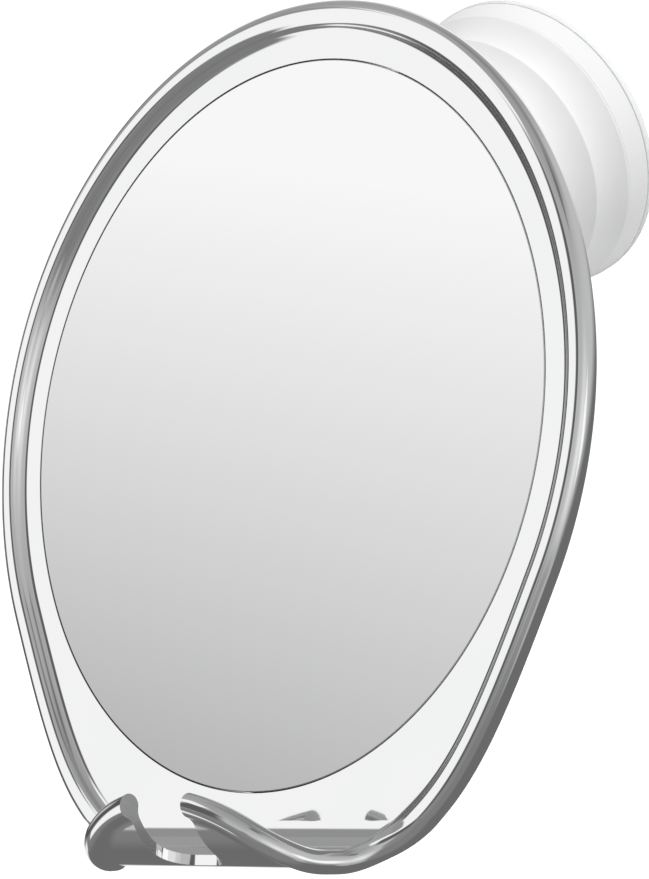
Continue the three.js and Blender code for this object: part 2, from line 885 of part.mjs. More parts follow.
// Outer side of the knob from the wall end to the front, one flared tier after another
function tierProfile() {
  const crestAt = (k) => [crestRadius - tierStep * k, crestHeight + tierPitch * k];
  const points = [];
  for (let k = 0; k < tierCount; k += 1) {
    const [radius, height] = crestAt(k);
    if (k === 0) {
      points.push([radius - grooveDepth, height - crestLip + crestRound]);
    }
    points.push([radius - crestRound, height - crestRound]);
    points.push([radius, height]);
    if (k < tierCount - 1) {
      const [nextRadius, nextHeight] = crestAt(k + 1);
      const grooveRadius = nextRadius - grooveDepth;
      const grooveHeight = nextHeight - crestLip;
      for (let i = 1; i <= tierSteps; i += 1) {
        const share = i / tierSteps;
        const flare = (1 - share) ** 2;
        points.push([
          grooveRadius + (radius - grooveRadius) * flare,
          height + (grooveHeight - height) * share,
        ]);
      }
    }
  }
  return points;
}

function makeKnob() {
  const tiers = tierProfile();
  const [backRadius, backHeight] = tiers[0];
  const [lastRadius, lastHeight] = tiers[tiers.length - 1];
  const noseRound = knobNoseHeight - lastHeight;
  const hubRadius = sleeveOuterRadius + seatGap;
  const sleeveWallRadius = hubRadius + keyHeight + runningGap + knobSleeveWall;
  const insideFront = knobRecessFloor - knobFrontThickness;
  const flankRadius = lastRadius - grooveDepth - knobWall;
  let solid = revolveRingFromWall([
    ...tiers,
    [lastRadius - noseRound / 2, lastHeight + noseRound * 3 / 4],
    [knobNoseRadius + noseRound / 4, knobNoseHeight],
    [knobNoseRadius, knobNoseHeight],
    [knobRecessRadius, knobNoseHeight - noseRound / 4],
    [knobRecessRadius, knobRecessFloor],
    [sleeveInnerRadius, knobRecessFloor],
    [sleeveInnerRadius, sleeveEnd + seatGap],
    [hubRadius, sleeveEnd + seatGap],
    [hubRadius, knobSleeveStart - seatGap],
    [sleeveWallRadius, knobSleeveStart - seatGap],
    [sleeveWallRadius, insideFront],
    [flankRadius, insideFront],
    [backRadius - knobWall, backHeight],
  ], knobSteps);
  keys(keyWidth + 2 * seatGap, keyHeight + seatGap, knobSleeveStart - cutOverrun, sleeveEnd + seatGap)
    .forEach((keyway) => {
      solid = solid.subtract(keyway);
    });
  return solid;
}

function makeClip() {
  const inner = postRadius - clipGrooveDepth + seatGap;
  const ring = revolveRingFromWall([
    [inner, clipStart],
    [clipOuterRadius, clipStart],
    [clipOuterRadius, clipEnd],
    [inner, clipEnd],
  ], postSteps);
  const reach = clipOuterRadius + cutOverrun;
  const mouth = new THREE.Shape([
    new THREE.Vector2(0, 0),
    new THREE.Vector2(reach, -reach * Math.tan(clipMouthAngle)),
    new THREE.Vector2(reach, reach * Math.tan(clipMouthAngle)),
  ]);
  const cutter = new THREE.ExtrudeGeometry(mouth, { depth: 2 * postEnd, bevelEnabled: false });
  cutter.rotateX(quarterTurn);
  return ring.subtract(toSolid(cutter));
}

function makeNoseCap() {
  const hubStart = postEnd + seatGap;
  return revolveRingFromWall([
    [studBoreRadius, hubStart],
    [studBoreRadius, noseEnd],
    [noseHubRadius, noseEnd],
    [noseRadius - noseWall, noseStart + noseHeight / 3],
    [noseRadius, noseStart],
    [noseRadius - noseWall, noseStart],
    [noseRadius - 2 * noseWall, noseStart + noseHeight / 3 - noseWall / 2],
    [noseHubRadius + noseWall, noseEnd - noseWall],
    [noseHubRadius, hubStart],
  ], postSteps);
}

function makeBallStud() {
  const neckAngle = Math.asin(studNeckRadius / ballRadius);
  const ball = polarArc(ballRadius, Math.PI - neckAngle, 0, ballSteps)
    .map(([radius, height]) => [radius, ballFromWall + height]);
  return revolveFromWall([
    [0, studShankStart],
    [studShankRadius, studShankStart],
    [studShankRadius, studFlangeStart],
    [studFlangeRadius, studFlangeStart],
    [studFlangeRadius, studFlangeEnd],
    [studNeckRadius, studFlangeEnd + studNeckTaper],
    ...ball,
  ], postSteps);
}

// Materials

const chrome = () => new THREE.MeshStandardMaterial({ color: 0xe2e3e4, roughness: 0.06, metalness: 1 });
const silvered = () => new THREE.MeshStandardMaterial({ color: 0xf2f4f5, roughness: 0.02, metalness: 1 });
const steel = () => new THREE.MeshStandardMaterial({ color: 0xb9bbbd, roughness: 0.25, metalness: 1 });
const whitePlastic = () => new THREE.MeshStandardMaterial({ color: 0xf1f1f0, roughness: 0.5, metalness: 0 });
const greyPlastic = () => new THREE.MeshStandardMaterial({ color: 0xc9cacb, roughness: 0.55, metalness: 0 });
const softPlastic = () => new THREE.MeshStandardMaterial({ color: 0xe3e4e5, roughness: 0.4, metalness: 0 });
const foam = () => new THREE.MeshStandardMaterial({ color: 0xf5f5f3, roughness: 0.95, metalness: 0 });
const rubber = () => new THREE.MeshStandardMaterial({ color: 0x2c2c2e, roughness: 0.8, metalness: 0 });

// Assembly

const suctionUnit = new THREE.Group();
suctionUnit.add(
  piece("suction_pad", makePad(), softPlastic()),
  piece("base_housing", makeHousing(), whitePlastic()),
  piece("pull_stem", makeStem(), greyPlastic()),
  piece("cross_pin", makeCrossPin(), steel()),
  piece("thrust_washer", makeWasher(), greyPlastic()),
  piece("cam_ring", makeCamRing(), greyPlastic()),
  piece("twist_knob", makeKnob(), whitePlastic()),
  piece("retaining_clip", makeClip(), steel()),
  piece("nose_cap", makeNoseCap(), whitePlastic()),
  piece("ball_stud", makeBallStud(), whitePlastic()),
);

const headPieces = new THREE.Group();
headPieces.position.set(0, -ballBehindFace, -ballAboveCentre);
headPieces.add(
  piece("frame", makeFrame(), chrome()),
  piece("mirror_pane", makeMirror(), silvered()),
  piece("mirror_tape", makeTape(), foam()),
  piece("preload_pad", makePreloadPad(), rubber()),
  piece("front_liner", makeFrontLiner(), greyPlastic()),
  piece("rear_liner", makeRearLiner(), greyPlastic()),
  piece("socket_cap", makeSocketCap(), whitePlastic()),
);
atScrews(makeCapScrew).forEach((solid, i) => {
  headPieces.add(piece(`cap_screw_${i + 1}`, solid, steel()));
});

const head = new THREE.Group();
head.position.set(0, -ballFromWall, 0);
head.rotation.x = -headTilt;
head.add(headPieces);

const showerMirror = new THREE.Group();
showerMirror.add(suctionUnit, head);

export default showerMirror;
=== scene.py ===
"""Looks of the fogless shower mirror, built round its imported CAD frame.

Sizes are in millimetres until a mesh is made. The head's pieces are drawn round the mirror's centre, with
the mirror's face at y = 0 and its back toward +Y, and ride in a frame that hangs on the ball. The suction
unit's pieces are turned round the Y axis, by their distance from the wall.
"""

import math

import bmesh
import bpy
import numpy as np
from mathutils import Matrix, Vector


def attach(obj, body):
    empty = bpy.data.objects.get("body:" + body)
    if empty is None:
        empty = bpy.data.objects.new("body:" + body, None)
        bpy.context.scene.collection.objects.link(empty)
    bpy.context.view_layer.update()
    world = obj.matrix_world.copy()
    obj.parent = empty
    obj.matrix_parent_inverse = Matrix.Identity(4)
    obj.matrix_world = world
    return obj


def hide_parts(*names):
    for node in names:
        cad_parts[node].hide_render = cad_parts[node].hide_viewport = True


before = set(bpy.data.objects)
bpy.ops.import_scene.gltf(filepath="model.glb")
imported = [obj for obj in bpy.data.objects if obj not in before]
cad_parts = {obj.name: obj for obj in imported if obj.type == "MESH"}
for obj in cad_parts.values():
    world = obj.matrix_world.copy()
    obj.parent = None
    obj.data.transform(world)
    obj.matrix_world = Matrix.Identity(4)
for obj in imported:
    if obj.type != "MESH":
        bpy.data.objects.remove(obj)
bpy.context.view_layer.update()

MM = 0.001
QUARTER = math.pi / 2
FULL = 2 * math.pi

# Clearances

SEAT_GAP = 0.3
RUNNING_GAP = 0.3
OVERRUN = 2.0
FACE_GAP = 0.02  # keeps two faces from lying in one plane
WALL_TOLERANCE = 0.1  # within which a face counts as the recess's wall

# Finish of the meshes

WELD = 0.002
SHARP_ANGLE = math.radians(32)
STRAIGHT_ANGLE = math.pi - 0.05
NORMAL_WEIGHT = 100
ON_AXIS = 1e-6
CORNER_SHARE = 0.45  # of either side, at most, that a rounded corner takes up
FACING_SHARE = 0.99  # of a normal along an axis, from which a face counts as square to it
FRONT_SHARE = 0.9  # the same for the mirror's front face

# Rounded corners of the turned pieces

CRISP = 0.05
FINE = 0.1
SLIGHT = 0.2
SMALL = 0.3
LEDGE = 0.4
MEDIUM = 0.5
SOFT = 0.8
FULL_ROUND = 1.2

# Steps along curves and round the turned pieces

TIP_STEPS = 70
HIP_STEPS = 32
SIDE_STEPS = 80
RING_STEPS = 150
ROW_POINTS = 73
FOOT_STEPS = 12
CROWN_STEPS = 10
BACK_STEPS = 38
EDGE_POINTS = 5
FILLET_POINTS = 7
SLOT_POINTS = 9
HOLLOW_STEPS = 12
MOUTH_STEPS = 6
REAR_LINER_STEPS = 8
FRONT_LINER_STEPS = 14
FLARE_STEPS = 14
BALL_STEPS = 28
PANE_CORNER_STEPS = 3
SCREW_CORNER_STEPS = 4
CORNER_STEPS = 5
NOSE_CORNER_STEPS = 6
PANE_TURN = 256
UNIT_TURN = 160
NOSE_TURN = 128
SOCKET_TURN = 96
SCREW_TURN = 48
ROD_TURN = 32

# Mirror and recess

MIRROR_RADIUS = 74.9
MIRROR_THICKNESS = 2.0
MIRROR_CHAMFER = 0.15
MIRROR_CREEP = 0.12  # beyond the solid pane, for a gap round it as thin as in the photograph
MIRROR_RIM_GAP = 0.3
RECESS_RADIUS = MIRROR_RADIUS + MIRROR_RIM_GAP
RECESS_EDGE = 0.15
TAPE_THICKNESS = 0.7
RECESS_DEPTH = MIRROR_THICKNESS + SEAT_GAP + TAPE_THICKNESS + SEAT_GAP

# Plate, bead and pan

PLATE = 2.0
BEAD_RADIUS = 2.36
RIM_WIDTH = 9.7
BEAD_PATH_RADIUS = RECESS_RADIUS + RIM_WIDTH
RIM_RISE = 0.1
FILLET = 3.0
CROWN_RADIUS = 12.0
CROWN_OUTER = math.radians(2)
CROWN_INNER = -math.radians(6)
CROWN_SHOULDER = 1.8
CREASE = 2.6
PAN_FLOOR = 1.7
PAN_WALL = 2.6
PAN_BACK = RECESS_DEPTH + PAN_FLOOR
PAN_RADIUS = RECESS_RADIUS + PAN_WALL
PAN_ROUND = 0.9
PAN_FILLET = 1.0

# Bend, trough and lip

BEND_MARGIN = 5.3
BEND_DROP = RECESS_RADIUS + BEND_MARGIN
BEND_RADIUS = 7.8
FLOOR_LENGTH = 2.0
LIP_BEND_RADIUS = 14.0
LIP_ANGLE = math.radians(54)

# Outline laid out flat

SIDE_END = math.radians(25)
SIDE_PULL = 34.2
HIP = (40.2, 5.3)
HIP_SLOPE = math.radians(30)
HIP_PULLS = (18.7, 6.0)
SHOULDER = (29.8, 17.8)
SHOULDER_SLOPE = math.radians(62)
SHOULDER_PULLS = (5.6, 9.5)
TIP_RUN = 33.2
TIP_PULL = 13.1

# Slot between the hooks

SLOT_WIDTH = 18.0
SLOT_REAR = 12.0
SLOT_CORNER = 6.5
SLOT_CUT_LENGTH = 30.0
SLOT_CUT_BELOW = 20.0
SLOT_CUT_ABOVE = 40.0

# Ball joint

BALL_RADIUS = 8.0
BALL_ABOVE_CENTRE = 37.2
LINER_INNER = BALL_RADIUS + RUNNING_GAP
LINER_THICKNESS = 1.1
LINER_OUTER = LINER_INNER + LINER_THICKNESS
FRONT_LINER_ANGLE = math.radians(62)
REAR_LINER_START = math.radians(68)
REAR_LINER_END = math.radians(85)
SOCKET_RADIUS = LINER_OUTER + RUNNING_GAP
PRELOAD_THICKNESS = 1.2
PRELOAD_RADIUS = 4.5
BALL_BEHIND_FACE = PAN_BACK + SEAT_GAP + PRELOAD_THICKNESS + LINER_OUTER + SEAT_GAP
BOSS_RADIUS = 17.0
BOSS_FILLET = 1.2
BOSS_ROUND = 0.8
BOSS_END = BALL_BEHIND_FACE - SEAT_GAP / 2
BALL_FROM_WALL = 69.0
HEAD_TILT = math.radians(33)

# Socket cap and its screws

CAP_START = SEAT_GAP / 2
CAP_THICKNESS = 5.4
CAP_MOUTH_ANGLE = math.radians(66)
CAP_MOUTH_FLARE = 1.3
CAP_EDGE_INSET = 3.6
CAP_EDGE_DROP = 2.0
SCREW_COUNT = 3
SCREW_PITCH = 13.2
SCREW_SHANK = 1.1
SCREW_LENGTH = 9.0
SCREW_HEAD = 2.1
SCREW_HEAD_HEIGHT = 1.5
SCREW_HEAD_EDGE = 0.2
SCREW_HEAD_DOME = 0.7
SCREW_DRIVE = 1.0
SCREW_DRIVE_DEPTH = 0.8
SCREW_DRIVE_SIDES = 6
SCREW_SEAT = CAP_START + CAP_THICKNESS - SCREW_HEAD_HEIGHT - SEAT_GAP

# Suction pad and base housing, by distance from the wall

PAD_RADIUS = 33.2
PAD_THICKNESS = 1.8
PAD_LIP = 0.3
PAD_LIP_WIDTH = 2.4
PAD_EDGE_ROUND = 0.7
PAD_GROOVE_START = 2.2  # from the pad's edge
PAD_GROOVE_WIDTH = 1.0
PAD_GROOVE_SLOPE = 0.2
PAD_GROOVE_DEPTH = 0.25
PAD_OVERHANG = 0.2
HOUSING_DRAFT = 0.85
HOUSING_WALL_RADIUS = PAD_RADIUS - PAD_OVERHANG
HOUSING_FRONT_RADIUS = HOUSING_WALL_RADIUS - HOUSING_DRAFT
HOUSING_START = PAD_THICKNESS + PAD_LIP + SEAT_GAP
BAND_HEIGHT = 5.4
BAND = 2.4
BAND_CREEP_FRONT = 0.12  # beyond the solid, for lines beside the band as thin as in the photograph
BAND_CREEP_WALL = 0.2
HOUSING_PLATE = 2.4
DOME_RADIUS = 17.0
DOME_RISE = 5.8
DOME_RUN = 2.4
DOME_TOP = HOUSING_START + HOUSING_PLATE + DOME_RISE
POST_RADIUS = 9.0
POST_TIP = 0.7

# Twist lock and knob

PIN_HEIGHT = 24.0
PIN_RADIUS = 1.35
PIN_LIFT = 2.5
PIN_SLOT_GAP = 0.3
STEM_RADIUS = 4.3
STEM_TIP = 4.6
STEM_HEADROOM = 0.5
SLEEVE_THICKNESS = 3.7
SLEEVE_LENGTH = 18.3
SLEEVE_WEB = 7.0
SLEEVE_INNER = POST_RADIUS + RUNNING_GAP
SLEEVE_OUTER = SLEEVE_INNER + SLEEVE_THICKNESS
KEY_WIDTH = 3.0
KEY_HEIGHT = 1.2
KEY_ANGLES = (math.radians(135), math.radians(315))
KEYWAY_OVERRUN = 0.6
TIERS = 5
TIER_PITCH = 8.3
CREST_OVERHANG = 0.15
CREST_RADIUS = HOUSING_FRONT_RADIUS + CREST_OVERHANG
LAST_CREST_RADIUS = 23.1
TIER_STEP = (CREST_RADIUS - LAST_CREST_RADIUS) / (TIERS - 1)
CREST_HEIGHT = 8.6
CREST_LIP = 0.9
CREST_ROUND = 0.35
KNOB_START = CREST_HEIGHT - CREST_LIP + CREST_ROUND
GROOVE_DEPTH = 1.0
GROOVE_ROUND = 0.25
KNOB_BACK_INSET = 0.1
KNOB_WALL = 2.3
KNOB_SLEEVE_WALL = 2.2
KNOB_FRONT = 1.6
KNOB_FRONT_ROUND = 2.0
NOSE_RADIUS = 17.8
NOSE_RISE = 3.2
NOSE_HEIGHT = CREST_HEIGHT + TIER_PITCH * (TIERS - 1) + NOSE_RISE
NOSE_EDGE = 0.9
NOSE_DEPTH = 1.4
RECESS_IN_NOSE = NOSE_RADIUS - NOSE_EDGE
NOSE_FLOOR = NOSE_HEIGHT - NOSE_DEPTH
SLEEVE_END = NOSE_FLOOR - SLEEVE_WEB - SEAT_GAP
SLEEVE_START = SLEEVE_END - SLEEVE_LENGTH

# Clip, nose cap and ball stud

CLIP_THICKNESS = 0.9
CLIP_GROOVE_DEPTH = 0.9
CLIP_START = NOSE_FLOOR + 2 * SEAT_GAP
CLIP_END = CLIP_START + CLIP_THICKNESS
POST_END = CLIP_END + SEAT_GAP + POST_TIP
STUD_SHANK = 2.6
STUD_BORE = STUD_SHANK + SEAT_GAP
STUD_BORE_DEPTH = 10.0
STUD_BORE_START = POST_END - STUD_BORE_DEPTH
STUD_FLANGE = 5.2
STUD_FLANGE_THICKNESS = 1.5
STUD_NECK = 3.0
STUD_NECK_TAPER = 2.4
STUD_NECK_ROUND = 3.0
NOSE_CAP_SIDE_GAP = 0.5
NOSE_CAP_RADIUS = RECESS_IN_NOSE - NOSE_CAP_SIDE_GAP
NOSE_CAP_FRONT = CLIP_END + SEAT_GAP
NOSE_CAP_HEIGHT = 5.2
NOSE_CAP_END = NOSE_CAP_FRONT + NOSE_CAP_HEIGHT
NOSE_CAP_HUB = 7.0
NOSE_CAP_WALL = 1.6
NOSE_CAP_ROUND = 2.5
NOSE_CAP_INNER_ROUND = 0.6

# Place of the head

HEAD_MATRIX = (
    Matrix.Translation((0, -BALL_FROM_WALL * MM, 0))
    @ Matrix.Rotation(-HEAD_TILT, 4, "X")
    @ Matrix.Translation((0, -BALL_BEHIND_FACE * MM, -BALL_ABOVE_CENTRE * MM))
)


# Meshes

def new_object(name, data):
    obj = bpy.data.objects.new(name, data)
    bpy.context.scene.collection.objects.link(obj)
    return obj


def piece(name, points, faces, material):
    """A smooth-shaded mesh object from points in millimetres, with its real edges kept sharp."""
    mesh = bpy.data.meshes.new(name)
    mesh.from_pydata([tuple(c * MM for c in p) for p in points], [], faces)
    work = bmesh.new()
    work.from_mesh(mesh)
    bmesh.ops.remove_doubles(work, verts=work.verts, dist=WELD * MM)
    bmesh.ops.recalc_face_normals(work, faces=work.faces)
    work.to_mesh(mesh)
    work.free()
    obj = new_object(name, mesh)
    mesh.materials.append(material)
    shade(obj)
    return obj


def shade(obj):
    """Smooth faces, and sharp edges where two faces meet at more than the sharp angle."""
    work = bmesh.new()
    work.from_mesh(obj.data)
    for face in work.faces:
        face.smooth = True
    for edge in work.edges:
        edge.smooth = len(edge.link_faces) == 2 and edge.calc_face_angle(0) < SHARP_ANGLE
    work.to_mesh(obj.data)
    work.free()


def weigh_normals(obj):
    modifier = obj.modifiers.new("normals", "WEIGHTED_NORMAL")
    modifier.keep_sharp = True
    modifier.weight = NORMAL_WEIGHT


def cut(obj, cutters):
    """Takes the cutters away from the object for good."""
    for cutter in cutters:
        modifier = obj.modifiers.new("cut", "BOOLEAN")
        modifier.operation = "DIFFERENCE"
        modifier.solver = "EXACT"
        modifier.object = cutter
    bpy.context.view_layer.update()
    evaluated = obj.evaluated_get(bpy.context.evaluated_depsgraph_get())
    mesh = bpy.data.meshes.new_from_object(evaluated)
    obj.modifiers.clear()
    old = obj.data
    obj.data = mesh
    bpy.data.meshes.remove(old)
    for cutter in cutters:
        bpy.data.objects.remove(cutter)
    shade(obj)


def loop_faces(first, second, count):
    """Quads between two closed loops of equally many points, given by their first indices."""
    return [
        (first + i, first + (i + 1) % count, second + (i + 1) % count, second + i)
        for i in range(count)
    ]


def softened(profile, radius, steps, closed=True):
    """Rounds the corners of a profile. A corner can bring its own radius as a third number."""
    count = len(profile)
    out = []
    for i, corner in enumerate(profile):
        here = np.array(corner[:2], float)
        own = corner[2] if len(corner) > 2 else radius
        ends = not closed and i in (0, count - 1)
        if own == 0 or ends:
            out.append(tuple(here))
            continue
        before = np.array(profile[i - 1][:2], float) - here
        after = np.array(profile[(i + 1) % count][:2], float) - here
        long_before, long_after = np.linalg.norm(before), np.linalg.norm(after)
        before, after = before / long_before, after / long_after
        turn = math.acos(float(np.clip(before @ after, -1, 1)))
        if turn > STRAIGHT_ANGLE:
            out.append(tuple(here))
            continue
        reach = min(own / math.tan(turn / 2), CORNER_SHARE * long_before, CORNER_SHARE * long_after)
        r = reach * math.tan(turn / 2)
        middle = here + (before + after) / np.linalg.norm(before + after) * r / math.sin(turn / 2)
        start, end = here + before * reach - middle, here + after * reach - middle
        sweep = math.atan2(start[0] * end[1] - start[1] * end[0], start @ end)
        for k in range(steps + 1):
            a = sweep * k / steps
            c, s = math.cos(a), math.sin(a)
            out.append((middle[0] + c * start[0] - s * start[1], middle[1] + s * start[0] + c * start[1]))
    return out


def revolved(name, profile, material, steps, closed=True, centre=(0, 0, 0)):
    """A body turned round the Y axis from [radius, y] points. An open profile starts and ends on it."""
    points, faces, rings = [], [], []
    for radius, y in profile:
        if radius < ON_AXIS:
            rings.append((len(points), 1))
            points.append((centre[0], centre[1] + y, centre[2]))
        else:
            rings.append((len(points), steps))
            for k in range(steps):
                a = FULL * k / steps
                points.append((
                    centre[0] + radius * math.cos(a),
                    centre[1] + y,
                    centre[2] + radius * math.sin(a),
                ))
    pairs = list(zip(rings, rings[1:]))
    if closed:
        pairs.append((rings[-1], rings[0]))
    for (a, na), (b, nb) in pairs:
        if na == nb == steps:
            faces += loop_faces(a, b, steps)
        elif na == 1 and nb == steps:
            faces += [(a, b + k, b + (k + 1) % steps) for k in range(steps)]
        elif nb == 1 and na == steps:
            faces += [(a + k, b, a + (k + 1) % steps) for k in range(steps)]
    return piece(name, points, faces, material)


def from_wall(profile):
    """Turns distances from the wall into y."""
    return [(p[0], -p[1], *p[2:]) for p in profile]


def polar_arc(radius, start, end, steps):
    """[radius, y] points of an arc, with angles from the +Y pole."""
    return [
        (radius * math.sin(a), radius * math.cos(a))
        for a in np.linspace(start, end, steps + 1)
    ]


def foot_arc(radius, y, fillet, points):
    """[radius, y] points of a hollow quarter arc, from a flat face at y to a wall at the radius."""
    return [
        (radius + fillet * (1 - math.sin(a)), y + fillet * (1 - math.cos(a)))
        for a in np.linspace(0, QUARTER, points)
    ]


def top_arc(radius, y, edge, points):
    """[radius, y] points of a rounded quarter arc, from a wall at the radius to a flat face at y."""
    return [
        (radius - edge * (1 - math.cos(a)), y - edge * (1 - math.sin(a)))
        for a in np.linspace(0, QUARTER, points)
    ]


def place_head(obj):
    obj.data.transform(HEAD_MATRIX)
    return obj


def finish_piece(obj, body, slot, *nodes):
    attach(obj, body)
    if nodes:
        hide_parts(*nodes)
    weigh_normals(obj)


# The bent sheet

def sheet(x, v, height):
    """Points of the bent sheet from flat coordinates x, v and the height off its front face."""
    x, v, height = (np.asarray(a, float) for a in (x, v, height))
    run = -BEND_DROP - v
    first = BEND_RADIUS * QUARTER
    second = first + FLOOR_LENGTH
    third = second + LIP_BEND_RADIUS * LIP_ANGLE
    bend = np.clip(run, 0, first) / BEND_RADIUS
    lip = np.clip(run - second, 0, third - second) / LIP_BEND_RADIUS
    heading = -QUARTER + bend + lip
    forward = BEND_RADIUS * (1 - np.cos(bend)) + np.clip(run - first, 0, FLOOR_LENGTH)
    forward += LIP_BEND_RADIUS * np.sin(lip)
    up = -BEND_DROP - BEND_RADIUS * np.sin(bend) + LIP_BEND_RADIUS * (1 - np.cos(lip))
    past = np.clip(run - third, 0, None)
    above = np.clip(-run, 0, None)
    forward += past * math.cos(LIP_ANGLE)
    up += past * math.sin(LIP_ANGLE) + above
    return np.stack([
        x,
        -(forward - np.sin(heading) * height),
        up + np.cos(heading) * height,
    ], axis=-1)


def bezier(a, b, c, d, steps):
    """Points of a cubic curve without its last one."""
    t = np.linspace(0, 1, steps, endpoint=False)[:, None]
    a, b, c, d = (np.array(p, float) for p in (a, b, c, d))
    return (1 - t) ** 3 * a + 3 * t * (1 - t) ** 2 * b + 3 * t ** 2 * (1 - t) * c + t ** 3 * d


def outline():
    """The bead's path on the flat sheet: from the tip up the right side, over the top and down the left."""
    def along(point, slope, pull):
        return (point[0] + pull * math.cos(slope), point[1] + pull * math.sin(slope))

    tip = (0, -BEND_DROP - TIP_RUN)
    shoulder = (SHOULDER[0], -BEND_DROP - SHOULDER[1])
    hip = (HIP[0], -BEND_DROP - HIP[1])
    side = (BEAD_PATH_RADIUS * math.cos(SIDE_END), -BEAD_PATH_RADIUS * math.sin(SIDE_END))
    side_slope = QUARTER - SIDE_END
    half = np.vstack([
        bezier(
            tip,
            along(tip, 0, TIP_PULL),
            along(shoulder, SHOULDER_SLOPE, -SHOULDER_PULLS[1]),
            shoulder,
            TIP_STEPS,
        ),
        bezier(
            shoulder,
            along(shoulder, SHOULDER_SLOPE, SHOULDER_PULLS[0]),
            along(hip, HIP_SLOPE, -HIP_PULLS[1]),
            hip,
            HIP_STEPS,
        ),
        bezier(
            hip,
            along(hip, HIP_SLOPE, HIP_PULLS[0]),
            along(side, side_slope, -SIDE_PULL),
            side,
            SIDE_STEPS,
        ),
        [
            (BEAD_PATH_RADIUS * math.cos(a), BEAD_PATH_RADIUS * math.sin(a))
            for a in np.linspace(-SIDE_END, QUARTER, RING_STEPS)
        ],
    ])
    left = half[-2:0:-1] * (-1, 1)
    return np.vstack([half, left])


def bead_section(rise, crown_share):
    """Outward places and heights of the bead, from its front foot to its rear one."""
    crown = BEAD_RADIUS + (CROWN_RADIUS - BEAD_RADIUS) * crown_share
    shoulder = BEAD_RADIUS + (CROWN_SHOULDER - BEAD_RADIUS) * crown_share
    crease = FILLET + (CREASE - FILLET) * crown_share

    def leaning(centre, distance, tilt):
        return (centre[0] + distance * math.sin(tilt), centre[1] + distance * math.cos(tilt))

    outer_centre = (0, rise)
    crown_centre = leaning(outer_centre, BEAD_RADIUS - crown, CROWN_OUTER)
    shoulder_centre = leaning(crown_centre, crown - shoulder, CROWN_INNER)
    drop = crease - shoulder_centre[1]
    front_inset = math.sqrt((shoulder + crease) ** 2 - drop ** 2)
    front_centre = (shoulder_centre[0] - front_inset, crease)
    rear_drop = FILLET + rise + PLATE
    rear_inset = math.sqrt((BEAD_RADIUS + FILLET) ** 2 - rear_drop ** 2)
    rear_centre = (-rear_inset, -PLATE - FILLET)
    front_lean = math.atan2(-front_inset, drop)
    rear_lean = FULL + math.atan2(-rear_inset, -rear_drop)
    points = []
    for centre, radius, start, end, steps in (
        (front_centre, -crease, 0, front_lean, FOOT_STEPS),
        (shoulder_centre, shoulder, front_lean, CROWN_INNER, CROWN_STEPS),
        (crown_centre, crown, CROWN_INNER, CROWN_OUTER, CROWN_STEPS),
        (outer_centre, BEAD_RADIUS, CROWN_OUTER, rear_lean, BACK_STEPS),
        (rear_centre, -FILLET, rear_lean, math.pi, FOOT_STEPS),
    ):
        points += [leaning(centre, radius, start + (end - start) * i / steps) for i in range(steps)]
    points.append(leaning(rear_centre, -FILLET, math.pi))
    return np.array(points)


def smoothstep(x, end):
    t = np.clip(x / end, 0, 1)
    return t * t * (3 - 2 * t)


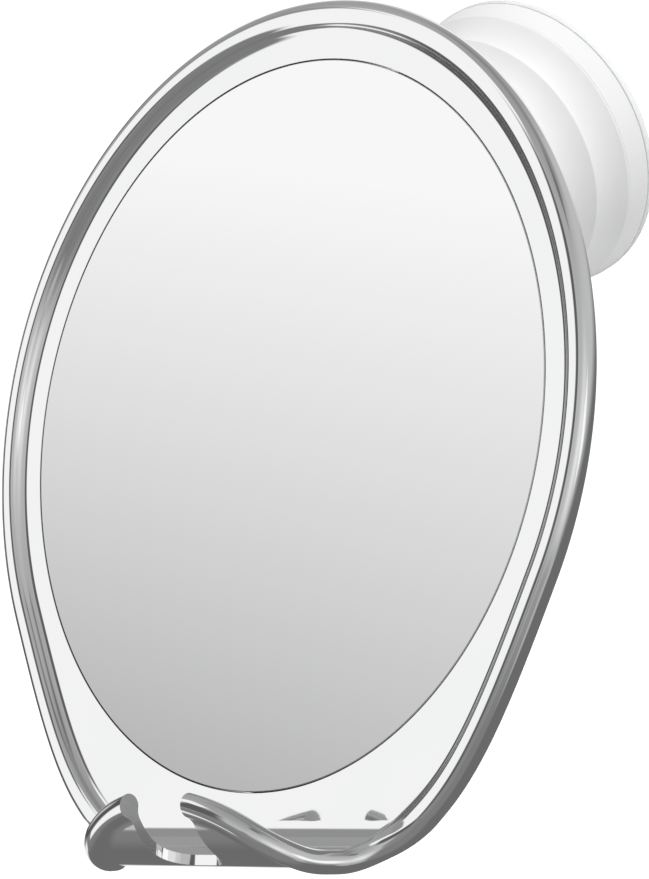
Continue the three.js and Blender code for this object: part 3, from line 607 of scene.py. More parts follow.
def frame_mesh():
    """The whole frame without its slot and screw holes, as points and faces in the head's frame."""
    path = outline()
    count = len(path)
    ahead, behind = np.roll(path, -1, axis=0), np.roll(path, 1, axis=0)
    tangent = ahead - behind
    tangent /= np.linalg.norm(tangent, axis=1)[:, None]
    outward = np.stack([tangent[:, 1], -tangent[:, 0]], axis=1)
    blend = smoothstep(-BEND_DROP - path[:, 1], SHOULDER[1])
    rise = RIM_RISE + (-PLATE / 2 - RIM_RISE) * blend
    sections = np.array([bead_section(*pair) for pair in zip(rise, 1 - blend)])
    width = sections.shape[1]
    flat = path[:, None, :] + outward[:, None, :] * sections[:, :, :1]
    grid = sheet(flat[..., 0], flat[..., 1], sections[..., 1])
    points = [tuple(p) for p in grid.reshape(-1, 3)]
    faces = []
    for i in range(count):
        j = (i + 1) % count
        for k in range(width - 1):
            faces.append((i * width + k, j * width + k, j * width + k + 1, i * width + k + 1))

    def closing(column, height, circle_radius, rings):
        """Fills from the bead's foot to the circle and the tip, and adds the rings inside."""
        foot = flat[:, column, :]
        low = [i for i in range(1, count // 2) if foot[i, 1] < -BEND_DROP]
        index = [i * width + column for i in range(count)]
        last = low[-1]
        faces.append((index[0], index[1], index[count - 1]))
        for i in low[:-1]:
            faces.append((index[i], index[i + 1], index[count - i - 1], index[count - i]))
        edge_v = foot[last, 1]
        half = foot[last, 0]
        row = np.linspace(-half, half, ROW_POINTS)[1:-1]
        row_start = len(points)
        points.extend(tuple(p) for p in sheet(row, np.full(len(row), edge_v), np.full(len(row), height)))
        ring = [index[i] for i in range(last, count - last + 1)]
        places = [foot[i] for i in range(last, count - last + 1)]
        ring += list(range(row_start, row_start + len(row)))
        places += [np.array([x, edge_v]) for x in row]
        circle = []
        for place in places:
            a = math.atan2(place[1], place[0])
            circle.append((circle_radius * math.cos(a), circle_radius * math.sin(a)))
        start = len(points)
        size = len(ring)
        points.extend((x, -height, z) for x, z in circle)
        for i in range(size):
            j = (i + 1) % size
            faces.append((ring[i], ring[j], start + j, start + i))
        previous = start
        for radius, y in rings:
            here = len(points)
            points.extend((x * radius / circle_radius, y, z * radius / circle_radius) for x, z in circle)
            faces.extend(loop_faces(previous, here, size))
            previous = here
        return previous, size

    recess = foot_arc(RECESS_RADIUS, 0, RECESS_EDGE, EDGE_POINTS)[1:]
    recess.append((RECESS_RADIUS, RECESS_DEPTH))
    front, front_size = closing(0, 0, RECESS_RADIUS + RECESS_EDGE, recess)
    faces.append(tuple(range(front, front + front_size)))

    pan = foot_arc(PAN_RADIUS, PLATE, PAN_FILLET, FILLET_POINTS)[1:]
    pan += top_arc(PAN_RADIUS, PAN_BACK, PAN_ROUND, FILLET_POINTS)
    rear, rear_size = closing(width - 1, -PLATE, PAN_RADIUS + PAN_FILLET, pan)
    boss_on_pan(points, faces, rear, rear_size)
    return points, faces


def boss_on_pan(points, faces, rim, size):
    """The socket boss and its hollow, joined to the pan's flat back round the ball's axis."""
    pocket = PRELOAD_RADIUS + RUNNING_GAP
    profile = foot_arc(BOSS_RADIUS, PAN_BACK, BOSS_FILLET, FILLET_POINTS)
    profile += top_arc(BOSS_RADIUS, BOSS_END, BOSS_ROUND, EDGE_POINTS)
    profile.append((SOCKET_RADIUS, BOSS_END))
    start = math.acos((BOSS_END - BALL_BEHIND_FACE) / SOCKET_RADIUS)
    end = math.pi - math.asin(pocket / SOCKET_RADIUS)
    hollow = polar_arc(SOCKET_RADIUS, start, end, HOLLOW_STEPS)[1:]
    profile += [(r, BALL_BEHIND_FACE + y) for r, y in hollow]
    profile.append((pocket, PAN_BACK + FACE_GAP))
    angles = [
        math.atan2(points[rim + i][2] - BALL_ABOVE_CENTRE, points[rim + i][0]) for i in range(size)
    ]
    previous = rim
    for radius, y in profile:
        here = len(points)
        points.extend((radius * math.cos(a), y, BALL_ABOVE_CENTRE + radius * math.sin(a)) for a in angles)
        faces.extend(loop_faces(previous, here, size))
        previous = here
    faces.append(tuple(range(previous, previous + size)))


def prism(name, corners, low, high):
    """An upright cutter from [x, y] corners between two heights."""
    count = len(corners)
    points = [(x, y, z) for z in (low, high) for x, y in corners]
    faces = loop_faces(0, count, count)
    faces += [tuple(range(count)), tuple(range(count, 2 * count))]
    return piece(name, points, faces, chrome)


def slot_cutter():
    half = SLOT_WIDTH / 2
    far = SLOT_REAR + SLOT_CUT_LENGTH
    corners = [(half, -far), (-half, -far)]
    for centre, start in ((-half + SLOT_CORNER, math.pi), (half - SLOT_CORNER, QUARTER)):
        for a in np.linspace(start, start - QUARTER, SLOT_POINTS):
            corners.append((
                centre + SLOT_CORNER * math.cos(a),
                -SLOT_REAR - SLOT_CORNER + SLOT_CORNER * math.sin(a),
            ))
    cutter = prism("slot_cutter", corners, -BEND_DROP - SLOT_CUT_BELOW, -BEND_DROP + SLOT_CUT_ABOVE)
    # The slot's side faces take the darker chrome, whose colour is painted shade.
    cutter.data.materials.append(painted_shade_chrome)
    for face in cutter.data.polygons:
        face.material_index = int(abs(face.normal.x) > FACING_SHARE)
    return cutter


def rod(name, radius, low, high, centre, steps=ROD_TURN):
    return revolved(
        name, [(0, low), (radius, low), (radius, high), (0, high)], chrome, steps, False, centre
    )


def screw_places():
    angles = [QUARTER + FULL * i / SCREW_COUNT for i in range(SCREW_COUNT)]
    return [
        (SCREW_PITCH * math.cos(a), BALL_BEHIND_FACE, BALL_ABOVE_CENTRE + SCREW_PITCH * math.sin(a))
        for a in angles
    ]


def make_frame():
    points, faces = frame_mesh()
    obj = piece("frame_shell", points, faces, chrome)
    obj.data.materials.append(painted_shade_chrome)
    depth = SCREW_SEAT - SCREW_LENGTH - RUNNING_GAP
    cutters = [slot_cutter()]
    cutters += [
        rod(f"pilot_{i}", SCREW_SHANK + RUNNING_GAP, depth, OVERRUN, place)
        for i, place in enumerate(screw_places())
    ]
    cut(obj, cutters)
    # The recess wall round the pane takes the darker chrome, whose colour is painted shade in the gap
    # beside the pane.
    for face in obj.data.polygons:
        reach = math.hypot(face.center.x, face.center.z)
        beside_recess = abs(reach - RECESS_RADIUS * MM) < WALL_TOLERANCE * MM
        if face.center.y > FACE_GAP * MM and beside_recess:
            face.material_index = 1
    finish_piece(place_head(obj), "head", "chrome", "frame")


def make_mirror():
    edge = MIRROR_RADIUS + MIRROR_CREEP
    profile = softened([
        (0, 0),
        (edge - MIRROR_CHAMFER, 0, FINE),
        (edge, MIRROR_CHAMFER, FINE),
        (edge, MIRROR_THICKNESS, FINE),
        (0, MIRROR_THICKNESS),
    ], 0, PANE_CORNER_STEPS, False)
    obj = revolved("mirror_disc", profile, silver_painted_reflection, PANE_TURN, False)
    obj.data.materials.append(pane_edge)
    for polygon in obj.data.polygons:
        if polygon.normal.y > -FRONT_SHARE:
            polygon.material_index = 1
    finish_piece(place_head(obj), "head", "mirror", "mirror_pane")


def at_ball(profile):
    return [(p[0], BALL_BEHIND_FACE + p[1], *p[2:]) for p in profile]


def make_cap():
    back = CAP_START + CAP_THICKNESS
    mouth_radius = SOCKET_RADIUS * math.sin(CAP_MOUTH_ANGLE)
    mouth_start = SOCKET_RADIUS * math.cos(CAP_MOUTH_ANGLE)
    equator = math.acos(CAP_START / SOCKET_RADIUS)
    pocket = [(r, y, 0) for r, y in polar_arc(SOCKET_RADIUS, equator, CAP_MOUTH_ANGLE, MOUTH_STEPS)]
    profile = softened(at_ball(pocket + [
        (mouth_radius + CAP_MOUTH_FLARE, mouth_start + CAP_MOUTH_FLARE, SMALL),
        (BOSS_RADIUS - CAP_EDGE_INSET, back, FULL_ROUND),
        (BOSS_RADIUS, back - CAP_EDGE_DROP, FULL_ROUND),
        (BOSS_RADIUS, CAP_START, SMALL),
    ]), SMALL, CORNER_STEPS)
    centre = (0, 0, BALL_ABOVE_CENTRE)
    obj = revolved("socket_ring", profile, white_plastic, SOCKET_TURN, True, centre)
    cutters = []
    for i, place in enumerate(screw_places()):
        for name, radius, low in (
            (f"hole_{i}", SCREW_SHANK, -OVERRUN),
            (f"seat_{i}", SCREW_HEAD, SCREW_SEAT - SEAT_GAP),
        ):
            cutters.append(rod(name, radius + RUNNING_GAP, low, back + OVERRUN, place))
    cut(obj, cutters)
    finish_piece(place_head(obj), "head", "white_plastic", "socket_cap")


def make_screws():
    top = SCREW_SEAT + SCREW_HEAD_HEIGHT
    for i, place in enumerate(screw_places()):
        profile = softened([
            (0, SCREW_SEAT - SCREW_LENGTH),
            (SCREW_SHANK / 2, SCREW_SEAT - SCREW_LENGTH, FINE),
            (SCREW_SHANK, SCREW_SEAT - SCREW_LENGTH + SCREW_SHANK, FINE),
            (SCREW_SHANK, SCREW_SEAT, 0),
            (SCREW_HEAD, SCREW_SEAT, FINE),
            (SCREW_HEAD, top - SCREW_HEAD_EDGE, MEDIUM),
            (SCREW_HEAD - SCREW_HEAD_DOME, top, MEDIUM),
            (0, top),
        ], 0, SCREW_CORNER_STEPS, False)
        obj = revolved(f"screw_{i + 1}", profile, steel, SCREW_TURN, False, place)
        drive = rod(
            f"drive_{i}", SCREW_DRIVE, top - SCREW_DRIVE_DEPTH, top + OVERRUN, place, SCREW_DRIVE_SIDES
        )
        cut(obj, [drive])
        finish_piece(place_head(obj), "head", "steel", f"cap_screw_{i + 1}")


def make_rear_liner():
    profile = at_ball(
        polar_arc(LINER_OUTER, REAR_LINER_END, REAR_LINER_START, REAR_LINER_STEPS)
        + polar_arc(LINER_INNER, REAR_LINER_START, REAR_LINER_END, REAR_LINER_STEPS)
    )
    obj = revolved("rear_cup", profile, grey_plastic, SOCKET_TURN, True, (0, 0, BALL_ABOVE_CENTRE))
    finish_piece(place_head(obj), "pan", "grey_plastic", "rear_liner")


def make_front_liner():
    edge = math.pi - FRONT_LINER_ANGLE
    profile = at_ball(
        polar_arc(LINER_OUTER, math.pi, edge, FRONT_LINER_STEPS)
        + polar_arc(LINER_INNER, edge, math.pi, FRONT_LINER_STEPS)
    )
    obj = revolved("front_cup", profile, grey_plastic, SOCKET_TURN, False, (0, 0, BALL_ABOVE_CENTRE))
    finish_piece(place_head(obj), "tilt", "grey_plastic", "front_liner")


# Suction unit

def make_pad():
    top = PAD_THICKNESS + PAD_LIP
    groove_outer = PAD_RADIUS - PAD_GROOVE_START
    groove_inner = groove_outer - PAD_GROOVE_WIDTH
    lip_inner = PAD_RADIUS - PAD_LIP_WIDTH
    profile = softened(from_wall([
        (0, 0),
        (groove_inner, 0, FINE),
        (groove_inner + PAD_GROOVE_SLOPE, PAD_GROOVE_DEPTH, FINE),
        (groove_outer - PAD_GROOVE_SLOPE, PAD_GROOVE_DEPTH, FINE),
        (groove_outer, 0, FINE),
        (PAD_RADIUS, 0, PAD_EDGE_ROUND),
        (PAD_RADIUS, top, FINE),
        (lip_inner, top, SLIGHT),
        (lip_inner - PAD_LIP, PAD_THICKNESS, SLIGHT),
        (0, PAD_THICKNESS),
    ]), 0, CORNER_STEPS, False)
    obj = revolved("vacuum_pad", profile, milky_vinyl, UNIT_TURN, False)
    finish_piece(obj, "suction", "pad", "suction_pad")


def make_housing():
    band_front = HOUSING_START + BAND_HEIGHT + BAND_CREEP_FRONT
    band_wall = HOUSING_START - BAND_CREEP_WALL
    plate_front = HOUSING_START + HOUSING_PLATE
    band_inner = HOUSING_FRONT_RADIUS - BAND
    dome_under = DOME_TOP - HOUSING_PLATE
    dome_foot = DOME_RADIUS + DOME_RUN
    groove = POST_RADIUS - CLIP_GROOVE_DEPTH
    bore = STEM_RADIUS + RUNNING_GAP
    bore_end = PIN_HEIGHT + PIN_RADIUS + STEM_TIP + PIN_LIFT + STEM_HEADROOM
    profile = softened(from_wall([
        (0, STUD_BORE_START),
        (STUD_BORE, STUD_BORE_START, 0),
        (STUD_BORE, POST_END, FINE),
        (POST_RADIUS, POST_END, SMALL),
        (POST_RADIUS, CLIP_END + SEAT_GAP, 0),
        (groove, CLIP_END + SEAT_GAP, 0),
        (groove, CLIP_START - SEAT_GAP, 0),
        (POST_RADIUS, CLIP_START - SEAT_GAP, 0),
        (POST_RADIUS, DOME_TOP, LEDGE),
        (DOME_RADIUS, DOME_TOP, SOFT),
        (dome_foot, plate_front, SOFT),
        (band_inner, plate_front, MEDIUM),
        (band_inner, band_front, SLIGHT),
        (HOUSING_FRONT_RADIUS, band_front, CRISP),
        (HOUSING_WALL_RADIUS, band_wall, FINE),
        (dome_foot - HOUSING_PLATE, band_wall, MEDIUM),
        (DOME_RADIUS - HOUSING_PLATE, dome_under, MEDIUM),
        (bore, dome_under, FINE),
        (bore, bore_end, 0),
        (0, bore_end),
    ]), 0, CORNER_STEPS, False)
    obj = revolved("base_shell", profile, white_plastic, UNIT_TURN, False)
    half = PIN_RADIUS + PIN_SLOT_GAP
    height = PIN_LIFT + 2 * half
    middle = PIN_HEIGHT + PIN_LIFT / 2
    reach = POST_RADIUS + OVERRUN
    corners = [
        (-reach, -middle - height / 2), (reach, -middle - height / 2),
        (reach, -middle + height / 2), (-reach, -middle + height / 2),
    ]
    cut(obj, [prism("pin_slot", corners, -half, half)])
    finish_piece(obj, "suction", "white_plastic", "base_housing")


def knob_profile():
    """Outer side of the knob from its wall end to the front, one flared tier after another."""
    points = [
        (CREST_RADIUS - GROOVE_DEPTH, KNOB_START, FINE),
        (CREST_RADIUS - KNOB_BACK_INSET, KNOB_START, CRISP),
    ]
    for k in range(TIERS):
        radius, height = CREST_RADIUS - TIER_STEP * k, CREST_HEIGHT + TIER_PITCH * k
        points.append((radius, height, CREST_ROUND))
        if k < TIERS - 1:
            groove_radius = radius - TIER_STEP - GROOVE_DEPTH
            groove_height = height + TIER_PITCH - CREST_LIP
            for i in range(1, FLARE_STEPS + 1):
                share = i / FLARE_STEPS
                points.append((
                    groove_radius + (radius - groove_radius) * (1 - share) ** 2,
                    height + (groove_height - height) * share,
                    GROOVE_ROUND if i == FLARE_STEPS else 0,
                ))
    return points


def make_knob():
    tiers = knob_profile()
    last_radius, last_height = tiers[-1][:2]
    nose_round = NOSE_HEIGHT - last_height
    hub = SLEEVE_OUTER + SEAT_GAP
    sleeve_wall = hub + KEY_HEIGHT + RUNNING_GAP + KNOB_SLEEVE_WALL
    inside = NOSE_FLOOR - KNOB_FRONT
    start = SLEEVE_START - SEAT_GAP
    profile = softened(from_wall(tiers + [
        (last_radius - nose_round / 2, last_height + nose_round * 3 / 4, KNOB_FRONT_ROUND),
        (NOSE_RADIUS + nose_round / 4, NOSE_HEIGHT, FULL_ROUND),
        (NOSE_RADIUS, NOSE_HEIGHT, SLIGHT),
        (RECESS_IN_NOSE, NOSE_HEIGHT - nose_round / 4, SLIGHT),
        (RECESS_IN_NOSE, NOSE_FLOOR, FINE),
        (SLEEVE_INNER, NOSE_FLOOR, FINE),
        (SLEEVE_INNER, SLEEVE_END + SEAT_GAP, 0),
        (hub, SLEEVE_END + SEAT_GAP, 0),
        (hub, start, FINE),
        (sleeve_wall, start, SMALL),
        (sleeve_wall, inside, SOFT),
        (last_radius - GROOVE_DEPTH - KNOB_WALL, inside, FULL_ROUND),
        (CREST_RADIUS - GROOVE_DEPTH - KNOB_WALL, KNOB_START, SMALL),
    ]), 0, CORNER_STEPS)
    obj = revolved("knob_shell", profile, white_plastic, UNIT_TURN)
    half = (KEY_WIDTH + 2 * SEAT_GAP) / 2
    inner, outer = SLEEVE_OUTER - KEYWAY_OVERRUN, SLEEVE_OUTER + (KEY_HEIGHT + SEAT_GAP)
    corners = [(inner, -half), (outer, -half), (outer, half), (inner, half)]
    cutters = []
    for turn in KEY_ANGLES:
        points = []
        for y in (-SLEEVE_END - SEAT_GAP, -SLEEVE_START + OVERRUN):
            for x, z in corners:
                points.append((
                    x * math.cos(turn) - z * math.sin(turn), y, x * math.sin(turn) + z * math.cos(turn)
                ))
        faces = loop_faces(0, 4, 4) + [(0, 1, 2, 3), (4, 5, 6, 7)]
        cutters.append(piece("keyway", points, faces, white_plastic))
    cut(obj, cutters)
    finish_piece(obj, "knob", "white_plastic", "twist_knob")


def make_nose_cap():
    hub_start = POST_END + SEAT_GAP
    shoulder = NOSE_CAP_FRONT + NOSE_CAP_HEIGHT / 3
    inner = NOSE_CAP_RADIUS - NOSE_CAP_WALL
    profile = softened(from_wall([
        (STUD_BORE, hub_start, 0),
        (STUD_BORE, NOSE_CAP_END, SMALL),
        (NOSE_CAP_HUB, NOSE_CAP_END, NOSE_CAP_ROUND),
        (inner, shoulder, NOSE_CAP_ROUND),
        (NOSE_CAP_RADIUS, NOSE_CAP_FRONT, SMALL),
        (inner, NOSE_CAP_FRONT, FINE),
        (inner - NOSE_CAP_WALL, shoulder - NOSE_CAP_WALL / 2, NOSE_CAP_INNER_ROUND),
        (NOSE_CAP_HUB + NOSE_CAP_WALL, NOSE_CAP_END - NOSE_CAP_WALL, NOSE_CAP_INNER_ROUND),
        (NOSE_CAP_HUB, hub_start, 0),
    ]), 0, NOSE_CORNER_STEPS)
    obj = revolved("nose_dome", profile, white_plastic, NOSE_TURN)
    finish_piece(obj, "suction", "white_plastic", "nose_cap")


def make_ball_stud():
    shank_start = STUD_BORE_START + 2 * SEAT_GAP
    flange_start = NOSE_CAP_END + SEAT_GAP
    flange_end = flange_start + STUD_FLANGE_THICKNESS
    neck_angle = math.asin(STUD_NECK / BALL_RADIUS)
    ball = [
        (r, BALL_FROM_WALL + y, 0)
        for r, y in polar_arc(BALL_RADIUS, math.pi - neck_angle, 0, BALL_STEPS)
    ]
    profile = softened(from_wall([
        (0, shank_start),
        (STUD_SHANK, shank_start, SMALL),
        (STUD_SHANK, flange_start, 0),
        (STUD_FLANGE, flange_start, SLIGHT),
        (STUD_FLANGE, flange_end, LEDGE),
        (STUD_NECK, flange_end + STUD_NECK_TAPER, STUD_NECK_ROUND),
        (ball[0][0], ball[0][1], SOFT),
    ] + ball[1:]), 0, NOSE_CORNER_STEPS, False)
    obj = revolved("stud_with_ball", profile, white_plastic, SOCKET_TURN, False)
    finish_piece(obj, "suction", "white_plastic", "ball_stud")


# Materials

NOISE_LOW = 0.3
NOISE_HIGH = 0.7
# Painted reflection on the pane, darker at the bottom and brighter at the top
PAINTED_REFLECTION_LEAN = 0.25  # sideways share of the direction in which the painted reflection brightens
PAINTED_REFLECTION_REACH = 75.0  # from the middle to either end of the painted reflection's change of tone
PAINTED_REFLECTION_TOP_SHARE = 0.85


def new_material(name):
    material = bpy.data.materials.new(name)
    material.use_nodes = True
    tree = material.node_tree
    return material, tree, tree.nodes["Principled BSDF"]


def feed(tree, value, socket):
    """Links another socket to this one, or sets it to a value."""
    if isinstance(value, bpy.types.NodeSocket):
        tree.links.new(value, socket)
    else:
        socket.default_value = value


def noise(tree, scale, detail=4, roughness=0.55, stretch=(1, 1, 1)):
    """Object-space noise, in features per metre."""
    mapping = tree.nodes.new("ShaderNodeMapping")
    feed(tree, stretch, mapping.inputs["Scale"])
    feed(tree, tree.nodes.new("ShaderNodeTexCoord").outputs["Object"], mapping.inputs["Vector"])
    texture = tree.nodes.new("ShaderNodeTexNoise")
    feed(tree, scale, texture.inputs["Scale"])
    feed(tree, detail, texture.inputs["Detail"])
    feed(tree, roughness, texture.inputs["Roughness"])
    feed(tree, mapping.outputs["Vector"], texture.inputs["Vector"])
    return texture.outputs["Fac"]


def mapped(tree, value, low, high, start=NOISE_LOW, end=NOISE_HIGH, blend="LINEAR"):
    """Goes from low to high while the value goes from start to end."""
    node = tree.nodes.new("ShaderNodeMapRange")
    node.interpolation_type = blend
    for name, level in (("From Min", start), ("From Max", end), ("To Min", low), ("To Max", high)):
        feed(tree, level, node.inputs[name])
    feed(tree, value, node.inputs["Value"])
    return node.outputs["Result"]


def math_node(tree, operation, first, second=0):
    node = tree.nodes.new("ShaderNodeMath")
    node.operation = operation
    feed(tree, first, node.inputs[0])
    feed(tree, second, node.inputs[1])
    return node.outputs[0]


def dot_node(tree, vector, direction):
    node = tree.nodes.new("ShaderNodeVectorMath")
    node.operation = "DOT_PRODUCT"
    feed(tree, vector, node.inputs[0])
    feed(tree, direction, node.inputs[1])
    return node.outputs["Value"]


def mixed(tree, factor, first, second):
    node = tree.nodes.new("ShaderNodeMixShader")
    for socket, value in zip(node.inputs, (factor, first, second)):
        feed(tree, value, socket)
    return node.outputs[0]


def paint(tree, shader, value, first, second, start=NOISE_LOW, end=NOISE_HIGH):
    """Gives a surface its colour, which goes from the first to the second with the value."""
    ramp = tree.nodes.new("ShaderNodeValToRGB")
    for element, place, colour in zip(ramp.color_ramp.elements, (start, end), (first, second)):
        element.position = place
        element.color = (*colour, 1)
    feed(tree, value, ramp.inputs["Fac"])
    feed(tree, ramp.outputs["Color"], shader.inputs["Base Color"])


def roughen(tree, shader, value, low, high):
    feed(tree, mapped(tree, value, low, high), shader.inputs["Roughness"])


def bump_up(tree, shader, value, strength, distance):
    bump = tree.nodes.new("ShaderNodeBump")
    feed(tree, strength, bump.inputs["Strength"])
    feed(tree, distance, bump.inputs["Distance"])
    feed(tree, value, bump.inputs["Height"])
    feed(tree, bump.outputs["Normal"], shader.inputs["Normal"])


def chrome_material():
    material, tree, shader = new_material("chrome_plating")
    shader.inputs["Metallic"].default_value = 1
    broad = noise(tree, scale=18, detail=2)
    fine = noise(tree, scale=900, detail=5, roughness=0.6)
    waves = noise(tree, scale=60, detail=2, roughness=0.4)
    paint(tree, shader, broad, first=(0.93, 0.935, 0.94), second=(0.955, 0.955, 0.955))
    roughen(tree, shader, fine, low=0.025, high=0.06)
    bump_up(tree, shader, waves, strength=0.012, distance=0.001)
    return material


def painted_shade_chrome_material():
    """Darker, rougher chrome on the slot's side faces and the recess wall round the pane: painted shade in
    its colour, with a duller finish.
    """
    material, tree, shader = new_material("painted_shade_chrome")
    shader.inputs["Metallic"].default_value = 1
    broad = noise(tree, scale=60, detail=3)
    fine = noise(tree, scale=1500, detail=4, roughness=0.6)
    paint(tree, shader, broad, first=(0.36, 0.36, 0.365), second=(0.42, 0.42, 0.425))
    roughen(tree, shader, fine, low=0.12, high=0.2)
    bump_up(tree, shader, fine, strength=0.05, distance=0.0001)
    return material


def silver_painted_reflection_material():
    """The silvered pane, with a painted reflection in its colour that goes slowly from darker at the bottom
    to brighter at the top.
    """
    material, tree, shader = new_material("silvered_glass_painted_reflection")
    shader.inputs["Metallic"].default_value = 1
    shader.inputs["Coat Weight"].default_value = 0.3
    shader.inputs["Coat Roughness"].default_value = 0.02
    where = tree.nodes.new("ShaderNodeTexCoord").outputs["Object"]
    upward = HEAD_MATRIX.to_3x3() @ Vector((PAINTED_REFLECTION_LEAN, 0, 1))
    middle = upward.dot(HEAD_MATRIX.translation)
    reach = PAINTED_REFLECTION_REACH * MM
    climb = dot_node(tree, where, upward)
    share = mapped(tree, climb, 0, 1, middle - reach, middle + reach)
    # painted reflection: the darker tone at the bottom, the brighter one at the top
    dark, bright = (0.5, 0.5, 0.505), (0.99, 0.99, 0.99)
    paint(tree, shader, share, dark, bright, 0, PAINTED_REFLECTION_TOP_SHARE)
    fine = noise(tree, scale=700, detail=4)
    roughen(tree, shader, fine, low=0.015, high=0.035)
    return material


def pane_edge_material():
    material, tree, shader = new_material("pane_edge")
    speckle = noise(tree, scale=500, detail=4)
    paint(tree, shader, speckle, first=(0.36, 0.37, 0.37), second=(0.44, 0.45, 0.45))
    shader.inputs["Roughness"].default_value = 0.35
    return material


def plastic_material(name, first, second, rough, bump, grain=2600):
    """A plastic, foam or rubber whose roughness varies a little round the given one."""
    material, tree, shader = new_material(name)
    spread = 0.05
    broad = noise(tree, scale=35, detail=3)
    fine = noise(tree, scale=grain, detail=3, roughness=0.6)
    paint(tree, shader, broad, first, second)
    roughen(tree, shader, fine, rough - spread, rough + spread)
    shader.inputs["IOR"].default_value = 1.5
    bump_up(tree, shader, fine, bump, distance=0.0002)
    return material


def vinyl_material():
    material, tree, shader = new_material("milky_vinyl")
    broad = noise(tree, scale=60, detail=3)
    fine = noise(tree, scale=1800, detail=3)
    paint(tree, shader, broad, first=(0.84, 0.845, 0.845), second=(0.87, 0.875, 0.875))
    roughen(tree, shader, fine, low=0.18, high=0.28)
    shader.inputs["Subsurface Weight"].default_value = 0.35
    shader.inputs["Subsurface Radius"].default_value = (0.004, 0.004, 0.0035)
    shader.inputs["Subsurface Scale"].default_value = 1
    bump_up(tree, shader, fine, strength=0.08, distance=0.0002)
    return material


def steel_material():
    material, tree, shader = new_material("bright_steel")
    shader.inputs["Metallic"].default_value = 1
    grain = noise(tree, scale=900, detail=4, roughness=0.6, stretch=(1, 6, 1))
    paint(tree, shader, grain, first=(0.52, 0.53, 0.54), second=(0.68, 0.69, 0.70))
    roughen(tree, shader, grain, low=0.2, high=0.34)
    bump_up(tree, shader, grain, strength=0.06, distance=0.0002)
    return material


chrome = chrome_material()
painted_shade_chrome = painted_shade_chrome_material()
silver_painted_reflection = silver_painted_reflection_material()
pane_edge = pane_edge_material()
white_plastic = plastic_material(
    "white_plastic", (0.80, 0.80, 0.795), (0.84, 0.84, 0.835), rough=0.42, bump=0.12
)
grey_plastic = plastic_material(
    "grey_plastic", (0.50, 0.51, 0.52), (0.56, 0.57, 0.58), rough=0.45, bump=0.15
)
foam = plastic_material(
    "foam_tape", (0.80, 0.80, 0.78), (0.88, 0.88, 0.86), rough=0.9, bump=0.6, grain=1500
)
black_rubber = plastic_material(
    "black_rubber", (0.015, 0.015, 0.016), (0.03, 0.03, 0.031), rough=0.7, bump=0.4, grain=1800
)
milky_vinyl = vinyl_material()
steel = steel_material()


def dress_nodes():
    """Materials for the CAD nodes that stay, which all sit inside."""
    for material, names in (
        (foam, ["mirror_tape"]),
        (black_rubber, ["preload_pad"]),
        (grey_plastic, ["cam_ring", "thrust_washer", "pull_stem"]),
        (steel, ["cross_pin", "retaining_clip"]),
    ):
        for name in names:
            for material_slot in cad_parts[name].material_slots:
                material_slot.material = material


# Stage

FLOOR_HALF = 30000.0
FLOOR_LEVEL = -320.0
FLOOR_GLOW_SHARE = 0.48


def seen_straight(tree):
    """1 for what the camera sees directly or through something clear, and 0 for what surfaces see."""
    seen = tree.nodes.new("ShaderNodeLightPath").outputs
    return math_node(tree, "MAXIMUM", seen["Is Camera Ray"], seen["Is Transmission Ray"])


def make_floor():
    half = FLOOR_HALF * MM
    level = FLOOR_LEVEL * MM
    mesh = bpy.data.meshes.new("floor")
    corners = [(-half, -half, level), (half, -half, level), (half, half, level), (-half, half, level)]
    mesh.from_pydata(corners, [], [(0, 1, 2, 3)])
    obj = new_object("floor", mesh)
    material, tree, shader = new_material("pale_floor")
    speck = noise(tree, scale=3, detail=2)
    paint(tree, shader, speck, first=(0.90, 0.90, 0.90), second=(0.92, 0.92, 0.92))
    shader.inputs["Roughness"].default_value = 0.8
    glow = tree.nodes.new("ShaderNodeEmission")
    feed(tree, math_node(tree, "MULTIPLY", seen_straight(tree), FLOOR_GLOW_SHARE), glow.inputs["Strength"])
    both = tree.nodes.new("ShaderNodeAddShader")
    feed(tree, shader.outputs[0], both.inputs[0])
    feed(tree, glow.outputs[0], both.inputs[1])
    feed(tree, both.outputs[0], tree.nodes["Material Output"].inputs["Surface"])
    mesh.materials.append(material)
    obj.visible_glossy = False


# Studio that the chrome shows

# Each card has an azimuth and elevation, half its width and height and the softness of its edge, all in
# degrees, and a brightness. Azimuth 0 is in front of the wall, and 90 to its right.
CARDS = [
    (-20, -15, 62, 33, 24, 0.21),
    (-140, 45, 45, 20, 20, 0.36),
    (-57, 24, 13, 46, 6, 0.94),
    (-104, -22, 22, 6, 6, 0.85),
    (-162, 10, 14, 18, 10, 0.93),
    (-95, 8, 23, 19, 6, 0.09),
    (-99, 8, 8, 8, 7, 0.5),
    (-105, 36, 16, 10, 10, 0.33),
    (-78, 40, 8.5, 8, 4, 0.29),
    (-31, 36, 11, 20, 8, 0.11),
    (-10, 12, 12, 14, 12, 0.24),
    (49, 20, 18, 13, 38, 0.85),
    (76, 8, 10, 10, 10, 1.0),
    (160, 65, 25, 12, 20, 0.25),
    (86, 66, 10, 6, 8, 0.17),
    (51, -14, 8, 6, 8, 0.45),
]
STUDIO_FLOOR = 0.15
STUDIO_WALL = 0.52
STUDIO_CEILING = 0.34
STUDIO_HORIZON = (math.radians(-24), math.radians(3))  # where the floor turns into the wall
STUDIO_COVE = (math.radians(20), math.radians(90))  # where the wall turns into the ceiling
DIFFUSE_COLOUR = (0.985, 0.99, 1.0, 1)
DIFFUSE_STRENGTH = 0.65
WHITE = (1, 1, 1, 1)


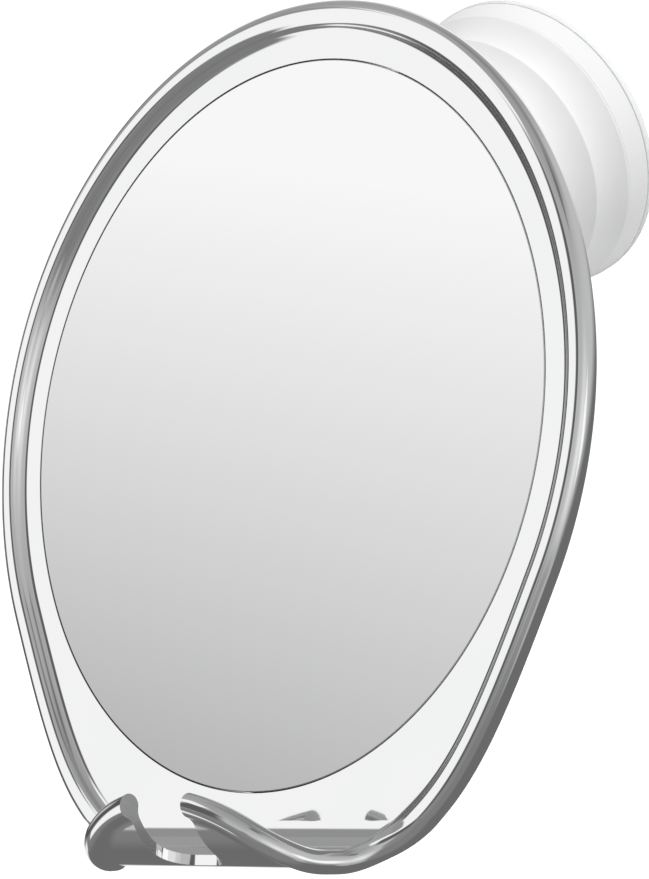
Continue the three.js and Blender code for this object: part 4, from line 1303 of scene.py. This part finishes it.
def card_light(tree, where, light, card):
    """The light of all directions with one more soft rectangle in it."""
    azimuth, elevation, width, height, soft, brightness = card
    a, e = math.radians(azimuth), math.radians(elevation)
    forward = Vector((math.sin(a) * math.cos(e), -math.cos(a) * math.cos(e), math.sin(e)))
    side = Vector((math.cos(a), math.sin(a), 0))
    depth = dot_node(tree, where, forward)
    inside = 1
    for axis, half in ((side, width), (forward.cross(side), height)):
        off = math_node(tree, "ABSOLUTE", dot_node(tree, where, axis))
        angle = math_node(tree, "ARCTAN2", off, depth)
        near, far = math.radians(half - soft / 2), math.radians(half + soft / 2)
        level = mapped(tree, angle, 1, 0, near, far, "SMOOTHSTEP")
        inside = math_node(tree, "MULTIPLY", inside, level)
    gap = math_node(tree, "SUBTRACT", brightness, light)
    return math_node(tree, "ADD", light, math_node(tree, "MULTIPLY", gap, inside))


def background(tree, colour, strength):
    node = tree.nodes.new("ShaderNodeBackground")
    feed(tree, colour, node.inputs["Color"])
    feed(tree, strength, node.inputs["Strength"])
    return node.outputs[0]


def make_world():
    """White for the camera, plain light for diffuse rays and the studio of cards for glossy ones."""
    world = bpy.data.worlds.new("studio")
    world.use_nodes = True
    tree = world.node_tree
    where = tree.nodes.new("ShaderNodeTexCoord").outputs["Generated"]
    split = tree.nodes.new("ShaderNodeSeparateXYZ")
    feed(tree, where, split.inputs["Vector"])
    height = math_node(tree, "ARCSINE", split.outputs["Z"])
    ceiling = mapped(tree, height, STUDIO_WALL, STUDIO_CEILING, *STUDIO_COVE, "SMOOTHSTEP")
    light = mapped(tree, height, STUDIO_FLOOR, ceiling, *STUDIO_HORIZON, "SMOOTHSTEP")
    for card in CARDS:
        light = card_light(tree, where, light, card)
    glossy = tree.nodes.new("ShaderNodeLightPath").outputs["Is Glossy Ray"]
    diffuse = background(tree, DIFFUSE_COLOUR, DIFFUSE_STRENGTH)
    reflected = mixed(tree, glossy, diffuse, background(tree, WHITE, light))
    shown = mixed(tree, seen_straight(tree), reflected, background(tree, WHITE, 1))
    feed(tree, shown, tree.nodes["World Output"].inputs["Surface"])
    bpy.context.scene.world = world


# Lamps, with places and sizes in metres and powers in watts

LAMP_TARGET = (0, -0.08, -0.02)
LAMPS = [
    ("key", (1.0, 0.1, 1.35), 0.8, 17),
    ("fill", (-1.0, -1.1, 0.6), 0.9, 1.5),
]


def make_lamp(name, place, size, power):
    lamp = bpy.data.lights.new(name, "AREA")
    lamp.shape = "SQUARE"
    lamp.size = size
    lamp.energy = power
    obj = new_object(name, lamp)
    obj.location = place
    obj.rotation_euler = (Vector(LAMP_TARGET) - Vector(place)).to_track_quat("-Z", "Y").to_euler()
    obj.visible_glossy = False
    obj.visible_camera = False


def make_lamps():
    for lamp in LAMPS:
        make_lamp(*lamp)


# Camera, from its fit to the photograph in the mirror's own frame, with angles in radians

IMAGE = (649, 879)
SENSOR = 36.0
FOCAL_PIXELS = 3100.3
CAMERA_AZIMUTH = 0.81758
CAMERA_ELEVATION = -0.16621
CAMERA_ROLL = 0.043924
CAMERA_DISTANCE = 630.54
CAMERA_OFFSET = (-10.786, 3.646)
CAMERA_NEAR = 10.0
CAMERA_FAR = 100000.0


def make_camera():
    a, e, roll = CAMERA_AZIMUTH, CAMERA_ELEVATION, CAMERA_ROLL
    back = Vector((math.sin(a) * math.cos(e), -math.cos(a) * math.cos(e), math.sin(e)))
    right = Vector((math.cos(a), math.sin(a), 0))
    up = back.cross(right)
    side = math.cos(roll) * right + math.sin(roll) * up
    top = -math.sin(roll) * right + math.cos(roll) * up
    place = back * CAMERA_DISTANCE - side * CAMERA_OFFSET[0] - top * CAMERA_OFFSET[1]
    turn = Matrix((side, top, back)).transposed().to_4x4()
    data = bpy.data.cameras.new("camera")
    data.sensor_width = SENSOR
    data.lens = FOCAL_PIXELS * SENSOR / max(IMAGE)
    data.clip_start, data.clip_end = CAMERA_NEAR * MM, CAMERA_FAR * MM
    obj = new_object("camera", data)
    obj.matrix_world = HEAD_MATRIX @ Matrix.Translation(place * MM) @ turn
    bpy.context.scene.camera = obj


make_frame()
make_mirror()
make_cap()
make_screws()
make_front_liner()
make_rear_liner()
make_pad()
make_housing()
make_knob()
make_nose_cap()
make_ball_stud()
dress_nodes()
make_floor()
make_world()
make_lamps()
make_camera()
bpy.context.scene.view_settings.view_transform = "Standard"

bpy.context.view_layer.update()
